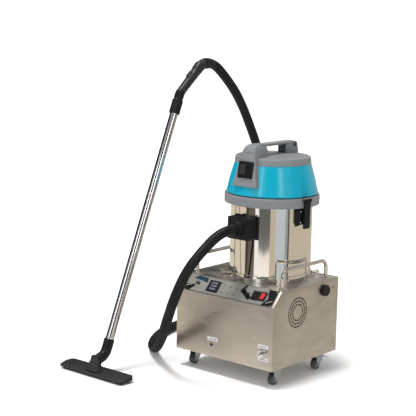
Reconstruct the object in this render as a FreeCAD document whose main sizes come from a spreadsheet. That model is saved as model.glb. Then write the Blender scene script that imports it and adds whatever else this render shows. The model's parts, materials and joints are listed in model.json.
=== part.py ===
import FreeCAD, Part
import math
import os
import Sketcher

V = FreeCAD.Vector
Rot = FreeCAD.Rotation
Place = FreeCAD.Placement
doc = FreeCAD.newDocument("VacuumCleaner")
sheet = doc.addObject("Spreadsheet::Sheet", "Sizes")


# ---------------------------------------------------------------- sizes
class Size:
    """A number together with the sheet formula that gives it."""

    def __init__(self, value, text):
        self.value = value
        self.text = text

    def join(self, sign, other, value):
        text = other.text if isinstance(other, Size) else repr(other)
        return Size(value, "(" + self.text + sign + text + ")")

    def __add__(self, other):
        return self.join(" + ", other, self.value + number(other))

    def __sub__(self, other):
        return self.join(" - ", other, self.value - number(other))

    def __mul__(self, other):
        return self.join(" * ", other, self.value * number(other))

    def __truediv__(self, other):
        return self.join(" / ", other, self.value / number(other))

    def __neg__(self):
        return Size(-self.value, "(0 - " + self.text + ")")


def number(item):
    return item.value if isinstance(item, Size) else item


class Table:
    """Sheet rows, each reached as an attribute."""


S = Table()
SIZES = dict(
    mach_x=152.5, mach_y=181.5, sheet_t=1.5,
    box_half_w=257.5, box_half_d=227.5, box_low=77.0, box_top=400.0, face_top=340.0,
    slant_back=-170.5, slant_deg=46.47,
    drum_dx=22.0, drum_dy=50.0, drum_r=172.5, drum_wall=1.5, drum_top=735.0,
    ring_r=176.5, ring_high=25.0,
    caster_dx=213.0, caster_front=-145.0, caster_rear=155.0, trail=14.0,
    wheel_r=25.0, wheel_w=20.0, axle_r=4.0, plate_low=74.5,
    bar_x=228.0, bar_front=-132.0, bar_long=304.0, bar_high=76.0, bar_r=8.0, bend_r=34.0,
    collar_r=201.0, collar_low=715.0, collar_top=755.0,
    teal_r=194.0, teal_low=759.0, teal_top_r=161.5, teal_top=885.0, cap_top=931.0, shell_t=3.0,
    latch_deg=-8.0, latch_w=32.0, pivot_r=207.0, pivot_z=748.0,
    inlet_z=627.0, hose_r=21.0, hose_bore=18.0,
    fan_y=-62.0, fan_z=295.0, vent_r=3.6, cap_y=124.0, cap_z=357.0,
    steam_x=210.0, steam_z=147.0, drain_x=-59.0, drain_z=127.0,
    wand_x=-395.0, bend_y=-520.0, bend_z=78.0, wand_lean=-22.4, neck_deg=17.5, wand_r=18.0,
    wand_start=46.0, wand_end=1080.0, grip_deg=41.0,
    head_y=-574.0, head_half=182.5, head_deep=80.0, head_top=27.0,
)
for row, (alias, size) in enumerate(SIZES.items(), start=1):
    sheet.set("A%d" % row, alias)
    sheet.set("B%d" % row, repr(size))
    sheet.setAlias("B%d" % row, alias)
    setattr(S, alias, Size(size, "Sizes." + alias))
doc.recompute()


# ---------------------------------------------------------------- helpers
def bind(obj, path, item):
    """Give a property its value, by formula when it comes from the sheet."""
    if isinstance(item, Size):
        obj.setExpression(path, item.text)


def place(obj, x, y, z, axis=(1, 0, 0), turn=0):
    """Seat an object in the shared frame, given its machine coordinates."""
    at = (S.mach_x + x, S.mach_y + y, z)
    base = V(*[number(item) for item in at])
    obj.Placement = Place(base, Rot(V(*axis), number(turn)))
    for key, item in zip("xyz", at):
        bind(obj, "Placement.Base." + key, item)
    bind(obj, "Placement.Rotation.Angle", turn)
    return obj


def new_body(label):
    body = doc.addObject("PartDesign::Body", label)
    body.Label = label
    body.AllowCompound = True
    return body


def origin_item(body, role):
    return [item for item in body.Origin.OriginFeatures if item.Role == role][0]


def new_sketch(body, role, lift=0, tilt=0, shift=(0, 0)):
    """Sketch on an origin plane, lifted along its normal, or tilted about its x axis."""
    sketch = body.newObject("Sketcher::SketchObject", body.Label + "_sketch")
    sketch.AttachmentSupport = [(origin_item(body, role), "")]
    sketch.MapMode = "FlatFace"
    turn = Rot(V(1, 0, 0), number(tilt))
    base = V(number(shift[0]), number(shift[1]), number(lift))
    sketch.AttachmentOffset = Place(base, turn)
    bind(sketch, "AttachmentOffset.Base.z", lift)
    bind(sketch, "AttachmentOffset.Base.y", shift[1])
    bind(sketch, "AttachmentOffset.Base.x", shift[0])
    bind(sketch, "AttachmentOffset.Rotation.Angle", tilt)
    return sketch


def pin_point(sketch, geo, pos, x, y):
    """Hold one sketch point at signed distances from the origin."""
    for kind, key, item in (("DistanceX", "x", x), ("DistanceY", "y", y)):
        k = sketch.addConstraint(Sketcher.Constraint(kind, -1, 1, geo, pos, float(number(item))))
        if isinstance(item, Size):
            name = "%s%d_%d" % (key, geo, pos)
            sketch.renameConstraint(k, name)
            sketch.setExpression("Constraints." + name, item.text)


def polygon(sketch, points):
    first = sketch.GeometryCount
    count = len(points)
    spots = [V(number(x), number(y), 0) for x, y in points]
    for i in range(count):
        sketch.addGeometry(Part.LineSegment(spots[i], spots[(i + 1) % count]), False)
    for i in range(count):
        after = first + (i + 1) % count
        sketch.addConstraint(Sketcher.Constraint("Coincident", first + i, 2, after, 1))
    for i, (x, y) in enumerate(points):
        pin_point(sketch, first + i, 1, x, y)


def rectangle(sketch, x, y, w, h):
    """Rectangle given by its centre, width and height."""
    left, right = half_sum(x, w, -0.5), half_sum(x, w, 0.5)
    low, high = half_sum(y, h, -0.5), half_sum(y, h, 0.5)
    polygon(sketch, [(left, low), (right, low), (right, high), (left, high)])


def half_sum(middle, span, share):
    if isinstance(middle, Size):
        return middle + span * share
    if isinstance(span, Size):
        return span * share + middle
    return middle + span * share


def circle(sketch, x, y, r):
    geo = sketch.addGeometry(Part.Circle(V(number(x), number(y), 0), V(0, 0, 1), number(r)), False)
    k = sketch.addConstraint(Sketcher.Constraint("Radius", geo, float(number(r))))
    if isinstance(r, Size):
        sketch.renameConstraint(k, "r%d" % geo)
        sketch.setExpression("Constraints.r%d" % geo, r.text)
    pin_point(sketch, geo, 3, x, y)


def settle(body, feature):
    body.Tip = feature
    doc.recompute()
    if feature.Shape.isNull() or not feature.isValid():
        raise SystemExit("bad feature %s" % feature.Name)
    return feature


def extrude(body, sketch, length, both=False, back=False, cut=False):
    kind = "PartDesign::Pocket" if cut else "PartDesign::Pad"
    feature = body.newObject(kind, body.Label + ("_pocket" if cut else "_pad"))
    feature.Profile = sketch
    feature.SideType = "Symmetric" if both else "One side"
    feature.Reversed = back
    feature.Length = number(length)
    bind(feature, "Length", length)
    return settle(body, feature)


def carve(body, sketch, length, both=False, back=False):
    """Pocket that must take material away."""
    before = body.Shape.Volume
    feature = extrude(body, sketch, length, both, back, cut=True)
    if not feature.Shape.Volume < before - 1e-3:
        raise SystemExit("pocket of %s removes nothing" % body.Label)
    return feature


def revolve(body, sketch, axis="V_Axis", cut=False):
    kind = "PartDesign::Groove" if cut else "PartDesign::Revolution"
    feature = body.newObject(kind, body.Label + ("_groove" if cut else "_turn"))
    feature.Profile = sketch
    feature.ReferenceAxis = (sketch, [axis])
    feature.Angle = 360
    return settle(body, feature)


def polar(body, feature, count, role="Z_Axis"):
    pattern = body.newObject("PartDesign::PolarPattern", body.Label + "_polar")
    pattern.Originals = [feature]
    pattern.Axis = (origin_item(body, role), [""])
    pattern.Angle = 360
    pattern.Occurrences = count
    return settle(body, pattern)


def turned(label, profile, cut_profile=None):
    """Body turned about its own Z axis from a half profile of (radius, height) points."""
    body = new_body(label)
    sketch = new_sketch(body, "XZ_Plane")
    polygon(sketch, profile)
    revolve(body, sketch)
    if cut_profile:
        sketch = new_sketch(body, "XZ_Plane")
        polygon(sketch, cut_profile)
        revolve(body, sketch, cut=True)
    return body


def bent_tube(body, corners, bend, r, bore=None, role="YZ_Plane", start="XY_Plane"):
    """Pipe along straight runs joined by bends of one radius, in one origin plane."""
    for radius, cut in ((r, False), (bore, True)):
        if radius is None:
            continue
        path = new_sketch(body, role)
        spots = [V(number(x), number(y), 0) for x, y in corners]
        inside = number(bend)
        ends = [spots[0]]
        arcs = []
        for before, spot, after in zip(spots, spots[1:], spots[2:]):
            one = (before - spot).normalize()
            two = (after - spot).normalize()
            half = math.acos(max(-1, min(1, one.dot(two)))) / 2
            reach = inside / math.tan(half)
            middle = spot + (one + two).normalize() * (inside / math.sin(half))
            mid = middle - (one + two).normalize() * inside
            arcs.append((spot + one * reach, mid, spot + two * reach))
            ends += [spot + one * reach, spot + two * reach]
        ends.append(spots[-1])
        geos = []
        for i in range(len(arcs) + 1):
            geos.append(path.addGeometry(Part.LineSegment(ends[2 * i], ends[2 * i + 1]), False))
            if i < len(arcs):
                geos.append(path.addGeometry(Part.Arc(*arcs[i]), False))
        for geo in geos:
            path.addConstraint(Sketcher.Constraint("Block", geo))
        profile = new_sketch(body, start)
        circle(profile, 0, 0, radius)
        kind = "PartDesign::SubtractivePipe" if cut else "PartDesign::AdditivePipe"
        pipe = body.newObject(kind, body.Label + "_pipe")
        pipe.Profile = profile
        pipe.Spine = path
        settle(body, pipe)
    return body


# ---------------------------------------------------------------- steam base box
def box_profile(t):
    """Side outline of the box, moved in by t; the inner one runs on below the open bottom."""
    low = S.box_low - (5 if t else 0)
    back = S.box_half_d - S.sheet_t * t
    front = -S.box_half_d + S.sheet_t * t
    top = S.box_top - S.sheet_t * t
    return [
        (front, low), (front, S.face_top - S.sheet_t * (0.4 * t)),
        (S.slant_back + S.sheet_t * (0.43 * t), top), (back, top), (back, low),
    ]


box = new_body("box_shell")
outline = new_sketch(box, "YZ_Plane")
polygon(outline, box_profile(0))
extrude(box, outline, S.box_half_w * 2, both=True)
outline = new_sketch(box, "YZ_Plane")
polygon(outline, box_profile(1))
carve(box, outline, (S.box_half_w - S.sheet_t) * 2, both=True)
# vent holes: three rings round the fan axis
for ring_r, count in ((34.0, 20), (47.5, 28), (61.0, 36)):
    vent = new_sketch(box, "YZ_Plane", lift=S.box_half_w - 4)
    for i in range(count):
        angle = 2 * math.pi * i / count
        circle(vent, S.fan_y + ring_r * math.cos(angle), S.fan_z + ring_r * math.sin(angle), S.vent_r)
    carve(box, vent, 8, back=True)
side = new_sketch(box, "YZ_Plane", lift=S.box_half_w - 4)
circle(side, S.cap_y, S.cap_z, 17.0)
circle(side, S.cap_y + 63, S.cap_z + 4, 4.0)
carve(box, side, 8, back=True)
front = new_sketch(box, "XZ_Plane", lift=S.box_half_d - 4)
circle(front, S.steam_x, S.steam_z, 10.0)
circle(front, S.drain_x, S.drain_z, 6.0)
carve(box, front, 8, back=True)
window = new_sketch(box, "XY_Plane", lift=S.face_top, tilt=S.slant_deg, shift=(0, -S.box_half_d))
rectangle(window, 0, 41.0, 460.0, 54.0)
carve(box, window, 10, both=True)
place(box, 0, 0, 0)

base = new_body("base_plate")
tray = new_sketch(base, "XY_Plane", lift=S.box_low)
rectangle(tray, 0, 0, S.box_half_w * 2 - 3.6, S.box_half_d * 2 - 3.6)
extrude(base, tray, 2.0)
slots = new_sketch(base, "XY_Plane", lift=S.box_low)
for i in range(7):
    rectangle(slots, -90.0 + 30.0 * i, 0, 10.0, 120.0)
carve(base, slots, 4.0, both=True)
pads = new_sketch(base, "XY_Plane", lift=S.plate_low)
for side_x in (-1, 1):
    for row_y in (S.caster_front, S.caster_rear):
        rectangle(pads, S.caster_dx * side_x, row_y, 62.0, 58.0)
extrude(base, pads, S.box_low - S.plate_low)
studs = new_sketch(base, "XY_Plane", lift=S.plate_low - 3)
for side_x in (-1, 1):
    for row_y in (S.caster_front, S.caster_rear):
        for dx in (-25, 25):
            for dy in (-23, 23):
                circle(studs, S.caster_dx * side_x + dx, row_y + dy, 4.0)
extrude(base, studs, 3.0)
place(base, 0, 0, 0)


def on_slant(obj, x, up, proud=0):
    """Seat a body on the sloping panel face: its Z is the outward normal, its Y runs up the slope."""
    lean = math.radians(SIZES["slant_deg"])
    y = -S.box_half_d + up * math.cos(lean) - proud * math.sin(lean)
    z = S.face_top + up * math.sin(lean) + proud * math.cos(lean)
    return place(obj, x, y, z, (1, 0, 0), S.slant_deg)


PANEL_T = 2.0
panel = new_body("control_panel")
sheet_face = new_sketch(panel, "XY_Plane")
rectangle(sheet_face, 0, 41.0, 490.0, 79.0)
extrude(panel, sheet_face, PANEL_T)
cuts = new_sketch(panel, "XY_Plane")
rectangle(cuts, -77.0, 40.0, 50.0, 46.0)
rectangle(cuts, 146.0, 40.0, 30.0, 36.0)
rectangle(cuts, 182.0, 42.0, 26.0, 36.0)
for x in (-26.0, 7.5, 41.0):
    for y in (21.5, 53.5):
        circle(cuts, x, y, 2.6)
circle(cuts, 79.0, 53.0, 5.3)
circle(cuts, 106.0, 36.0, 5.3)
carve(panel, cuts, 6.0, both=True)
on_slant(panel, 0, 0)

bezel = new_body("display_module")
rim = new_sketch(bezel, "XY_Plane")
rectangle(rim, 0, 0, 62.0, 56.0)
extrude(bezel, rim, 5.0)
core = new_sketch(bezel, "XY_Plane")
rectangle(core, 0, 0, 48.0, 44.0)
extrude(bezel, core, 24.0, back=True)
for y in (-13.0, 0.0, 13.0):
    digits = new_sketch(bezel, "XY_Plane", lift=3.5)
    rectangle(digits, 0, y, 34.0, 9.0)
    carve(bezel, digits, 3.0, back=True)
on_slant(bezel, -77.0, 40.0, PANEL_T)

lamps = new_body("indicator_lamps")
dots = new_sketch(lamps, "XY_Plane", lift=-12.0)
for x in (-26.0, 7.5, 41.0):
    for y in (21.5, 53.5):
        circle(dots, x, y, 2.4)
extrude(lamps, dots, 16.0)
on_slant(lamps, 0, 0)

housings = new_body("rocker_housings")
frames = new_sketch(housings, "XY_Plane")
rectangle(frames, 146.0, 40.0, 36.0, 42.0)
rectangle(frames, 182.5, 42.0, 32.0, 42.0)
extrude(housings, frames, 3.0)
wells = new_sketch(housings, "XY_Plane")
rectangle(wells, 146.0, 40.0, 28.0, 34.0)
rectangle(wells, 182.0, 42.0, 24.0, 34.0)
extrude(housings, wells, 22.0, back=True)
wells = new_sketch(housings, "XY_Plane", lift=3.0)
rectangle(wells, 146.0, 40.0, 22.0, 30.0)
rectangle(wells, 182.0, 42.0, 18.0, 30.0)
carve(housings, wells, 18.0)
KEY_PIN = 1.0
for x, up, wide in ((146.0, 40.0, 24.0), (182.0, 42.0, 20.0)):
    pin = new_sketch(housings, "YZ_Plane", lift=x - wide / 2)
    circle(pin, up, 1.8, KEY_PIN)
    extrude(housings, pin, wide)
on_slant(housings, 0, 0, PANEL_T)


def rocker(label, w, h, wedge, pin_r):
    """Rocker key: a shallow V on top, narrowing below, turning on a pin along its own X axis."""
    body = new_body(label)
    sketch = new_sketch(body, "YZ_Plane")
    half = h / 2
    polygon(sketch, [(-half, 1.0), (-half, wedge), (0, 2.5), (half, wedge - 2), (half, 1.0),
                     (half * 0.3, -5.0), (half * -0.3, -5.0)])
    extrude(body, sketch, w, both=True)
    bore = new_sketch(body, "YZ_Plane")
    circle(bore, 0, 0, pin_r + 0.05)
    carve(body, bore, w + 4, both=True)
    return body


ROCKERS = (("rocker_dark", 146.0, 40.0, 21.0), ("rocker_red", 182.0, 42.0, 17.0))
for label, x, up, w in ROCKERS:
    on_slant(rocker(label, w, 27.6, 5.5, KEY_PIN), x, up, PANEL_T + 1.8)
for label, x, up in (("button_upper", 79.0, 53.0), ("button_lower", 106.0, 36.0)):
    button = turned(label, [(0, -8.0), (4.95, -8.0), (4.95, 3.3), (8.0, 5.6), (8.0, 8.0), (6.5, 9.0),
                            (0, 9.4)])
    on_slant(button, x, up, PANEL_T)

fan_frame = new_body("fan_frame")
square = new_sketch(fan_frame, "YZ_Plane")
rectangle(square, 0, 0, 140.0, 140.0)
circle(square, 0, 0, 64.0)
extrude(fan_frame, square, 25.0)
hub = new_sketch(fan_frame, "YZ_Plane")
circle(hub, 0, 0, 20.0)
for side_y in (-1, 1):
    rectangle(hub, side_y * 43.0, 0, 50.0, 5.0)
extrude(fan_frame, hub, 3.0)
pin = new_sketch(fan_frame, "YZ_Plane")
circle(pin, 0, 0, 3.0)
extrude(fan_frame, pin, 22.0)
place(fan_frame, S.box_half_w - 26.6, S.fan_y, S.fan_z)

rotor = new_body("fan_rotor")
hub = new_sketch(rotor, "YZ_Plane")
circle(hub, 0, 0, 19.0)
extrude(rotor, hub, 17.0)
blade = new_sketch(rotor, "XZ_Plane", lift=18.0)
polygon(blade, [(1.0, -9.0), (3.0, -10.0), (16.0, 9.0), (14.0, 10.0)])
blades = extrude(rotor, blade, 43.0)
polar(rotor, blades, 7, "X_Axis")
bore = new_sketch(rotor, "YZ_Plane", lift=-1.0)
circle(bore, 0, 0, 3.05)
carve(rotor, bore, 20.0, back=True)
place(rotor, S.box_half_w - 23.2, S.fan_y, S.fan_z)

boiler = new_body("boiler_tank")
drum_end = new_sketch(boiler, "YZ_Plane")
circle(drum_end, 0, 0, 78.0)
extrude(boiler, drum_end, 270.0, both=True)
for x in (-80.0, 80.0):
    boss = new_sketch(boiler, "XY_Plane", lift=70.0)
    circle(boss, x, 0, 14.0)
    extrude(boiler, boss, 22.0)
for x in (-100.0, 100.0):
    foot = new_sketch(boiler, "YZ_Plane", lift=x - 4)
    polygon(foot, [(-50, -120), (50, -120), (50, -115), (30, -110), (30, -60), (-30, -60),
                   (-30, -110), (-50, -115)])
    extrude(boiler, foot, 8.0)
place(boiler, -95.0, 40.0, S.box_low + 122.0)

water = new_body("water_tank")
block = new_sketch(water, "XY_Plane")
rectangle(block, 0, 0, 130.0, 160.0)
extrude(water, block, 240.0)
neck = new_sketch(water, "YZ_Plane", lift=60.0)
circle(neck, 0, 215.0, 16.5)
extrude(water, neck, 66.0)
neck = new_sketch(water, "YZ_Plane", lift=50.0)
circle(neck, 0, 215.0, 12.0)
carve(water, neck, 90.0, back=True)
place(water, S.box_half_w - 120, S.cap_y + 0, S.cap_z - 215)

filler = turned("filler_cap", [(0, -14.0), (11.5, -14.0), (11.5, 6.4), (16.8, 6.4), (17.5, 0.4),
                               (22.0, 0.4), (24.0, 2.0), (24.0, 13.5), (22.5, 15.0), (0, 15.0)])
place(filler, S.box_half_w + 0, S.cap_y, S.cap_z, (0, 1, 0), 90)

pump = new_body("pump")
motor_end = new_sketch(pump, "YZ_Plane")
circle(motor_end, 0, 32.0, 26.0)
extrude(pump, motor_end, 70.0)
head_end = new_sketch(pump, "YZ_Plane", lift=70.0)
rectangle(head_end, 0, 32.0, 60.0, 50.0)
extrude(pump, head_end, 28.0)
foot = new_sketch(pump, "XY_Plane")
rectangle(foot, 45.0, 0, 110.0, 56.0)
extrude(pump, foot, 9.0)
place(pump, -200.0, -150.0, S.box_low + 2)


# ---------------------------------------------------------------- front ports
def port(label, profile, x, z):
    return place(turned(label, profile), x, -S.box_half_d, z, (1, 0, 0), 90)


port("steam_outlet", [(4.0, -20.0), (9.0, -20.0), (9.0, 0), (16.0, 0), (16.0, 2.5), (14.0, 3.5),
                      (10.0, 3.5), (10.0, 17.0), (8.0, 17.0), (8.0, 30.0), (7.0, 31.0),
                      (4.0, 31.0)], S.steam_x, S.steam_z)
port("steam_collar", [(10.05, 7.5), (13.5, 7.5), (14.0, 8.5), (14.0, 15.5), (13.0, 16.5),
                      (10.05, 16.5)], S.steam_x, S.steam_z)
port("drain_outlet", [(5.0, -18.0), (5.8, -18.0), (5.8, 0), (9.5, 0), (9.5, 1.6), (8.5, 2.4),
                      (5.0, 2.4)], S.drain_x, S.drain_z)


# ---------------------------------------------------------------- side handles
for label, side_x in (("handle_left", -1), ("handle_right", 1)):
    bar = new_body(label)
    bent_tube(bar, [(0, 0), (0, S.bar_high), (S.bar_long, S.bar_high), (S.bar_long, 0)],
              S.bend_r, S.bar_r)
    feet = new_sketch(bar, "XY_Plane")
    circle(feet, 0, 0, 17.0)
    circle(feet, 0, S.bar_long, 17.0)
    extrude(bar, feet, 3.0)
    heads = new_sketch(bar, "XY_Plane", lift=3.0)
    for y in (0, S.bar_long):
        for turn in (90, 210, 330):
            dx, dy = 12.5 * math.cos(math.radians(turn)), 12.5 * math.sin(math.radians(turn))
            circle(heads, dx, S.bar_long + dy if y else dy, 2.6)
    extrude(bar, heads, 1.4)
    place(bar, S.bar_x * side_x, S.bar_front, S.box_top)


# ---------------------------------------------------------------- casters
CASTERS = (("front_left", -1, S.caster_front), ("front_right", 1, S.caster_front),
           ("rear_left", -1, S.caster_rear), ("rear_right", 1, S.caster_rear))
for where, side_x, row_y in CASTERS:
    at = (S.caster_dx * side_x, row_y)
    fork = new_body("fork_" + where)
    race = new_sketch(fork, "XY_Plane", lift=62.0)
    circle(race, 0, 0, 21.0)
    extrude(fork, race, 9.0)
    race = new_sketch(fork, "XY_Plane", lift=71.0)
    circle(race, 0, 0, 24.0)
    extrude(fork, race, 3.2)
    crown = new_sketch(fork, "XY_Plane", lift=58.0)
    rectangle(crown, 0, 0, 31.0, 44.0)
    extrude(fork, crown, 4.0)
    for leg_x in (-15.5, 13.0):
        leg = new_sketch(fork, "YZ_Plane", lift=leg_x)
        polygon(leg, [(-22.0, 60.0), (22.0, 60.0), (22.0, 52.0), (-2.0, 20.0), (-10.0, 15.5),
                      (-18.0, 15.5), (-24.0, 21.0), (-25.0, 30.0)])
        extrude(fork, leg, 2.5)
    axle = new_sketch(fork, "YZ_Plane")
    circle(axle, -S.trail, S.wheel_r, S.axle_r)
    extrude(fork, axle, 34.0, both=True)
    bolt = new_sketch(fork, "YZ_Plane")
    circle(bolt, 16.0, 54.0, 2.0)
    extrude(fork, bolt, 31.0, both=True)
    place(fork, *at, 0)

    wheel = turned("wheel_" + where, [
        (S.axle_r + 0.05, -8.5), (7.0, -9.0), (7.5, -6.0), (16.5, -6.0), (17.5, -8.5),
        (S.wheel_r - 3, S.wheel_w * -0.5), (S.wheel_r - 0.8, -8.0), (S.wheel_r, -4.0),
        (S.wheel_r, 4.0), (S.wheel_r - 0.8, 8.0), (S.wheel_r - 3, S.wheel_w * 0.5), (17.5, 8.5),
        (16.5, 6.0), (7.5, 6.0), (7.0, 9.0), (S.axle_r + 0.05, 8.5)])
    place(wheel, at[0], at[1] - S.trail, S.wheel_r, (0, 1, 0), 90)

for where, side_x in (("left", -1), ("right", 1)):
    pedal = new_body("brake_" + where)
    blade = new_sketch(pedal, "YZ_Plane")
    polygon(blade, [(-2.6, 2.6), (4.0, 2.6), (9.0, 1.0), (42.0, -11.0), (41.0, -14.0), (8.0, -3.0),
                    (2.6, -3.4), (-2.6, -2.6), (-3.6, 0.0)])
    extrude(pedal, blade, 25.0, both=True)
    bore = new_sketch(pedal, "YZ_Plane")
    circle(bore, 0, 0, 2.05)
    carve(pedal, bore, 40.0, both=True)
    place(pedal, S.caster_dx * side_x, S.caster_rear + 16, 54.0)


# ---------------------------------------------------------------- drum and its ring
def on_drum(obj, z=0, turn=0):
    return place(obj, S.drum_dx, S.drum_dy, z, (0, 0, 1), turn)


ring = turned("drum_ring", [(165.0, 0), (S.ring_r, 0), (S.ring_r, S.ring_high),
                            (S.ring_r - 2, S.ring_high), (S.ring_r - 2, 1.5), (165.0, 1.5)])
for turn in (45, 135, 225, 315):
    nut = new_sketch(ring, "XY_Plane", lift=6.0)
    nut_x = (SIZES["ring_r"] + 1.5) * math.cos(math.radians(turn))
    nut_y = (SIZES["ring_r"] + 1.5) * math.sin(math.radians(turn))
    circle(nut, nut_x, nut_y, 6.5)
    extrude(ring, nut, 13.0)
for tilt, both in ((45, True), (-45, True)):
    hole = new_sketch(ring, "XZ_Plane", tilt=0)
    hole.AttachmentOffset = Place(V(0, 0, 0), Rot(V(0, 1, 0), tilt))
    circle(hole, 0, 12.5, 3.05)
    carve(ring, hole, 400.0, both=True)
clear = new_sketch(ring, "XY_Plane", lift=1.5)
circle(clear, 0, 0, S.ring_r - 2)
carve(ring, clear, 30.0, back=True)
on_drum(ring, S.box_top)

drum = turned("drum_shell", [
    (0, 401.7), (S.drum_r, 401.7), (S.drum_r, 729.0), (S.drum_r + 3.5, 729.0),
    (S.drum_r + 3.5, S.drum_top), (S.drum_r - S.drum_wall, S.drum_top),
    (S.drum_r - S.drum_wall, 403.2), (0, 403.2)])
mouth = new_sketch(drum, "XZ_Plane", lift=100.0)
circle(mouth, 0, S.inlet_z, 20.0)
carve(drum, mouth, 100.0, back=True)
on_drum(drum)

for number_at, turn in enumerate((45, 135, 225, 315), start=1):
    screw = new_body("thumb_screw_%d" % number_at)
    shank = new_sketch(screw, "YZ_Plane", lift=173.2)
    circle(shank, 0, 0, 3.0)
    extrude(screw, shank, 22.0)
    knob = new_sketch(screw, "YZ_Plane", lift=191.0)
    circle(knob, 0, 0, 7.0)
    extrude(screw, knob, 6.0)
    wing = new_sketch(screw, "XZ_Plane")
    polygon(wing, [(196.0, -7.0), (210.0, -10.0), (212.0, -8.0), (212.0, 8.0), (210.0, 10.0),
                   (196.0, 7.0)])
    extrude(screw, wing, 4.0, both=True)
    on_drum(screw, S.box_top + 12.5, turn)

inlet = new_body("inlet_block")
block = new_sketch(inlet, "XZ_Plane", lift=150.0)
rectangle(block, 0, 0, 110.0, 92.0)
extrude(inlet, block, 80.0)
lip = new_sketch(inlet, "XZ_Plane", lift=150.0)
rectangle(lip, 0, 0, 124.0, 98.0)
extrude(inlet, lip, 22.0)
spigot = new_sketch(inlet, "XZ_Plane", lift=230.0)
circle(spigot, 0, 0, 24.0)
extrude(inlet, spigot, 20.0)
bore = new_sketch(inlet, "XZ_Plane", lift=140.0)
circle(bore, 0, 0, S.hose_bore)
carve(inlet, bore, 120.0, back=True)
seat = new_sketch(inlet, "XY_Plane")
circle(seat, 0, 0, S.drum_r)
carve(inlet, seat, 200.0, both=True)
on_drum(inlet, S.inlet_z)

lock = turned("lock_ring", [(24.05, 0.3), (29.0, 0.3), (30.0, 2.0), (30.0, 14.0), (28.5, 17.0),
                            (24.05, 17.0)])
lug = new_sketch(lock, "XY_Plane", lift=2.0)
for side_x in (-1, 1):
    rectangle(lug, side_x * 31.0, 0, 6.0, 12.0)
extrude(lock, lug, 12.0)
place(lock, S.drum_dx, S.drum_dy - 230, S.inlet_z, (1, 0, 0), 90)

brackets = new_body("latch_brackets")
for side_x in (-1, 1):
    pad = new_sketch(brackets, "XY_Plane", lift=645.0)
    rectangle(pad, side_x * 184.0, 0, 30.0, 60.0)
    extrude(brackets, pad, 67.0)
seat = new_sketch(brackets, "XY_Plane", lift=640.0)
circle(seat, 0, 0, S.drum_r)
carve(brackets, seat, 80.0, back=True)
on_drum(brackets, 0, S.latch_deg)


# ---------------------------------------------------------------- vacuum head
collar = turned("head_collar", [
    (42.0, 740.0), (166.0, 740.0), (166.0, 736.0), (197.0, 736.0), (197.0, S.collar_low),
    (S.collar_r - 1.5, S.collar_low), (S.collar_r, S.collar_low + 1.5),
    (S.collar_r, S.collar_top - 2), (S.collar_r - 2, S.collar_top), (190.0, S.collar_top),
    (186.0, 746.0), (42.0, 746.0)])
for side_x in (-1, 1):
    ears = new_sketch(collar, "XY_Plane", lift=740.0)
    for y in (-19.5, 19.5):
        rectangle(ears, side_x * 205.0, y, 16.0, 5.0)
    extrude(collar, ears, 14.0)
    spindle = new_sketch(collar, "XZ_Plane")
    circle(spindle, S.pivot_r * side_x, S.pivot_z, 2.5)
    extrude(collar, spindle, 40.0, both=True)
on_drum(collar, 0, S.latch_deg)

cover = turned("motor_cover", [
    (186.5, S.collar_top), (189.5, S.collar_top), (189.5, S.teal_low), (S.teal_r, S.teal_low),
    (S.teal_r, S.teal_low + 2), (S.teal_top_r, S.teal_top), (150.0, S.teal_top),
    (150.0, S.teal_top - S.shell_t), (S.teal_top_r - 2, S.teal_top - S.shell_t),
    (186.5, S.teal_low + 18)])
on_drum(cover)

cap = turned("top_cap", [
    (S.teal_top_r, S.teal_top), (157.5, 917.0), (154.0, 921.0), (80.0, 929.0), (0, S.cap_top),
    (0, S.cap_top - S.shell_t), (80.0, 926.0), (152.0, 918.0), (154.4, 916.0), (158.4, S.teal_top)])
on_drum(cap)

carry = new_body("carry_handle")
outline = new_sketch(carry, "YZ_Plane")
polygon(outline, [(-192.0, 797.0), (-165.0, 946.0), (-152.0, 961.0), (-138.0, 967.0),
                  (-52.0, 968.0), (-52.0, 797.0)])
extrude(carry, outline, 128.0, both=True)
for side_x in (-1, 1):
    flank = new_sketch(carry, "XZ_Plane", lift=40.0)
    polygon(flank, [(side_x * 64.0, 796.0), (side_x * 30.0, 950.0), (side_x * 24.0, 960.0),
                    (side_x * 16.0, 970.0), (side_x * 70.0, 970.0), (side_x * 70.0, 796.0)])
    carve(carry, flank, 180.0, back=True)
rail = new_sketch(carry, "YZ_Plane")
polygon(rail, [(-60.0, 900.0), (146.0, 900.0), (146.0, 930.0), (139.0, 957.0), (129.0, 966.0),
               (54.0, 967.0), (48.0, 967.0), (-60.0, 968.0)])
extrude(carry, rail, 46.0, both=True)
core = new_sketch(carry, "XZ_Plane")
polygon(core, [(0, 700.0), (189.5, 700.0), (189.5, S.teal_low), (S.teal_r, S.teal_low),
               (S.teal_r, S.teal_low + 2), (S.teal_top_r, S.teal_top), (157.5, 917.0),
               (154.0, 921.0), (80.0, 929.0), (0, S.cap_top)])
revolve(carry, core, cut=True)
gap = new_sketch(carry, "YZ_Plane")
rectangle(gap, -6.0, 928.0, 92.0, 56.0)
carve(carry, gap, 90.0, both=True)
recess = new_sketch(carry, "YZ_Plane", lift=16.0)
rectangle(recess, 120.0, 951.0, 16.0, 12.0)
carve(carry, recess, 12.0, back=True)

FACE_DEG = 79.73
FACE = (-192.0 + (866.0 - 797.0) * 27.0 / 149.0, 866.0)
HEAD_KEY_AXIS = 3.5


def face_spot(up, proud):
    """Side-view point at a height up the front face and a distance in front of it."""
    lean = math.radians(90 - FACE_DEG)
    return (FACE[0] + up * math.sin(lean) - proud * math.cos(lean),
            FACE[1] + up * math.cos(lean) + proud * math.sin(lean))


pocket = new_sketch(carry, "YZ_Plane", lift=-30.5)
polygon(pocket, [face_spot(-21.5, 2.0), face_spot(21.5, 2.0), face_spot(21.5, -6.0),
                 face_spot(-21.5, -6.0)])
carve(carry, pocket, 31.0, back=True)
on_drum(carry)


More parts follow.
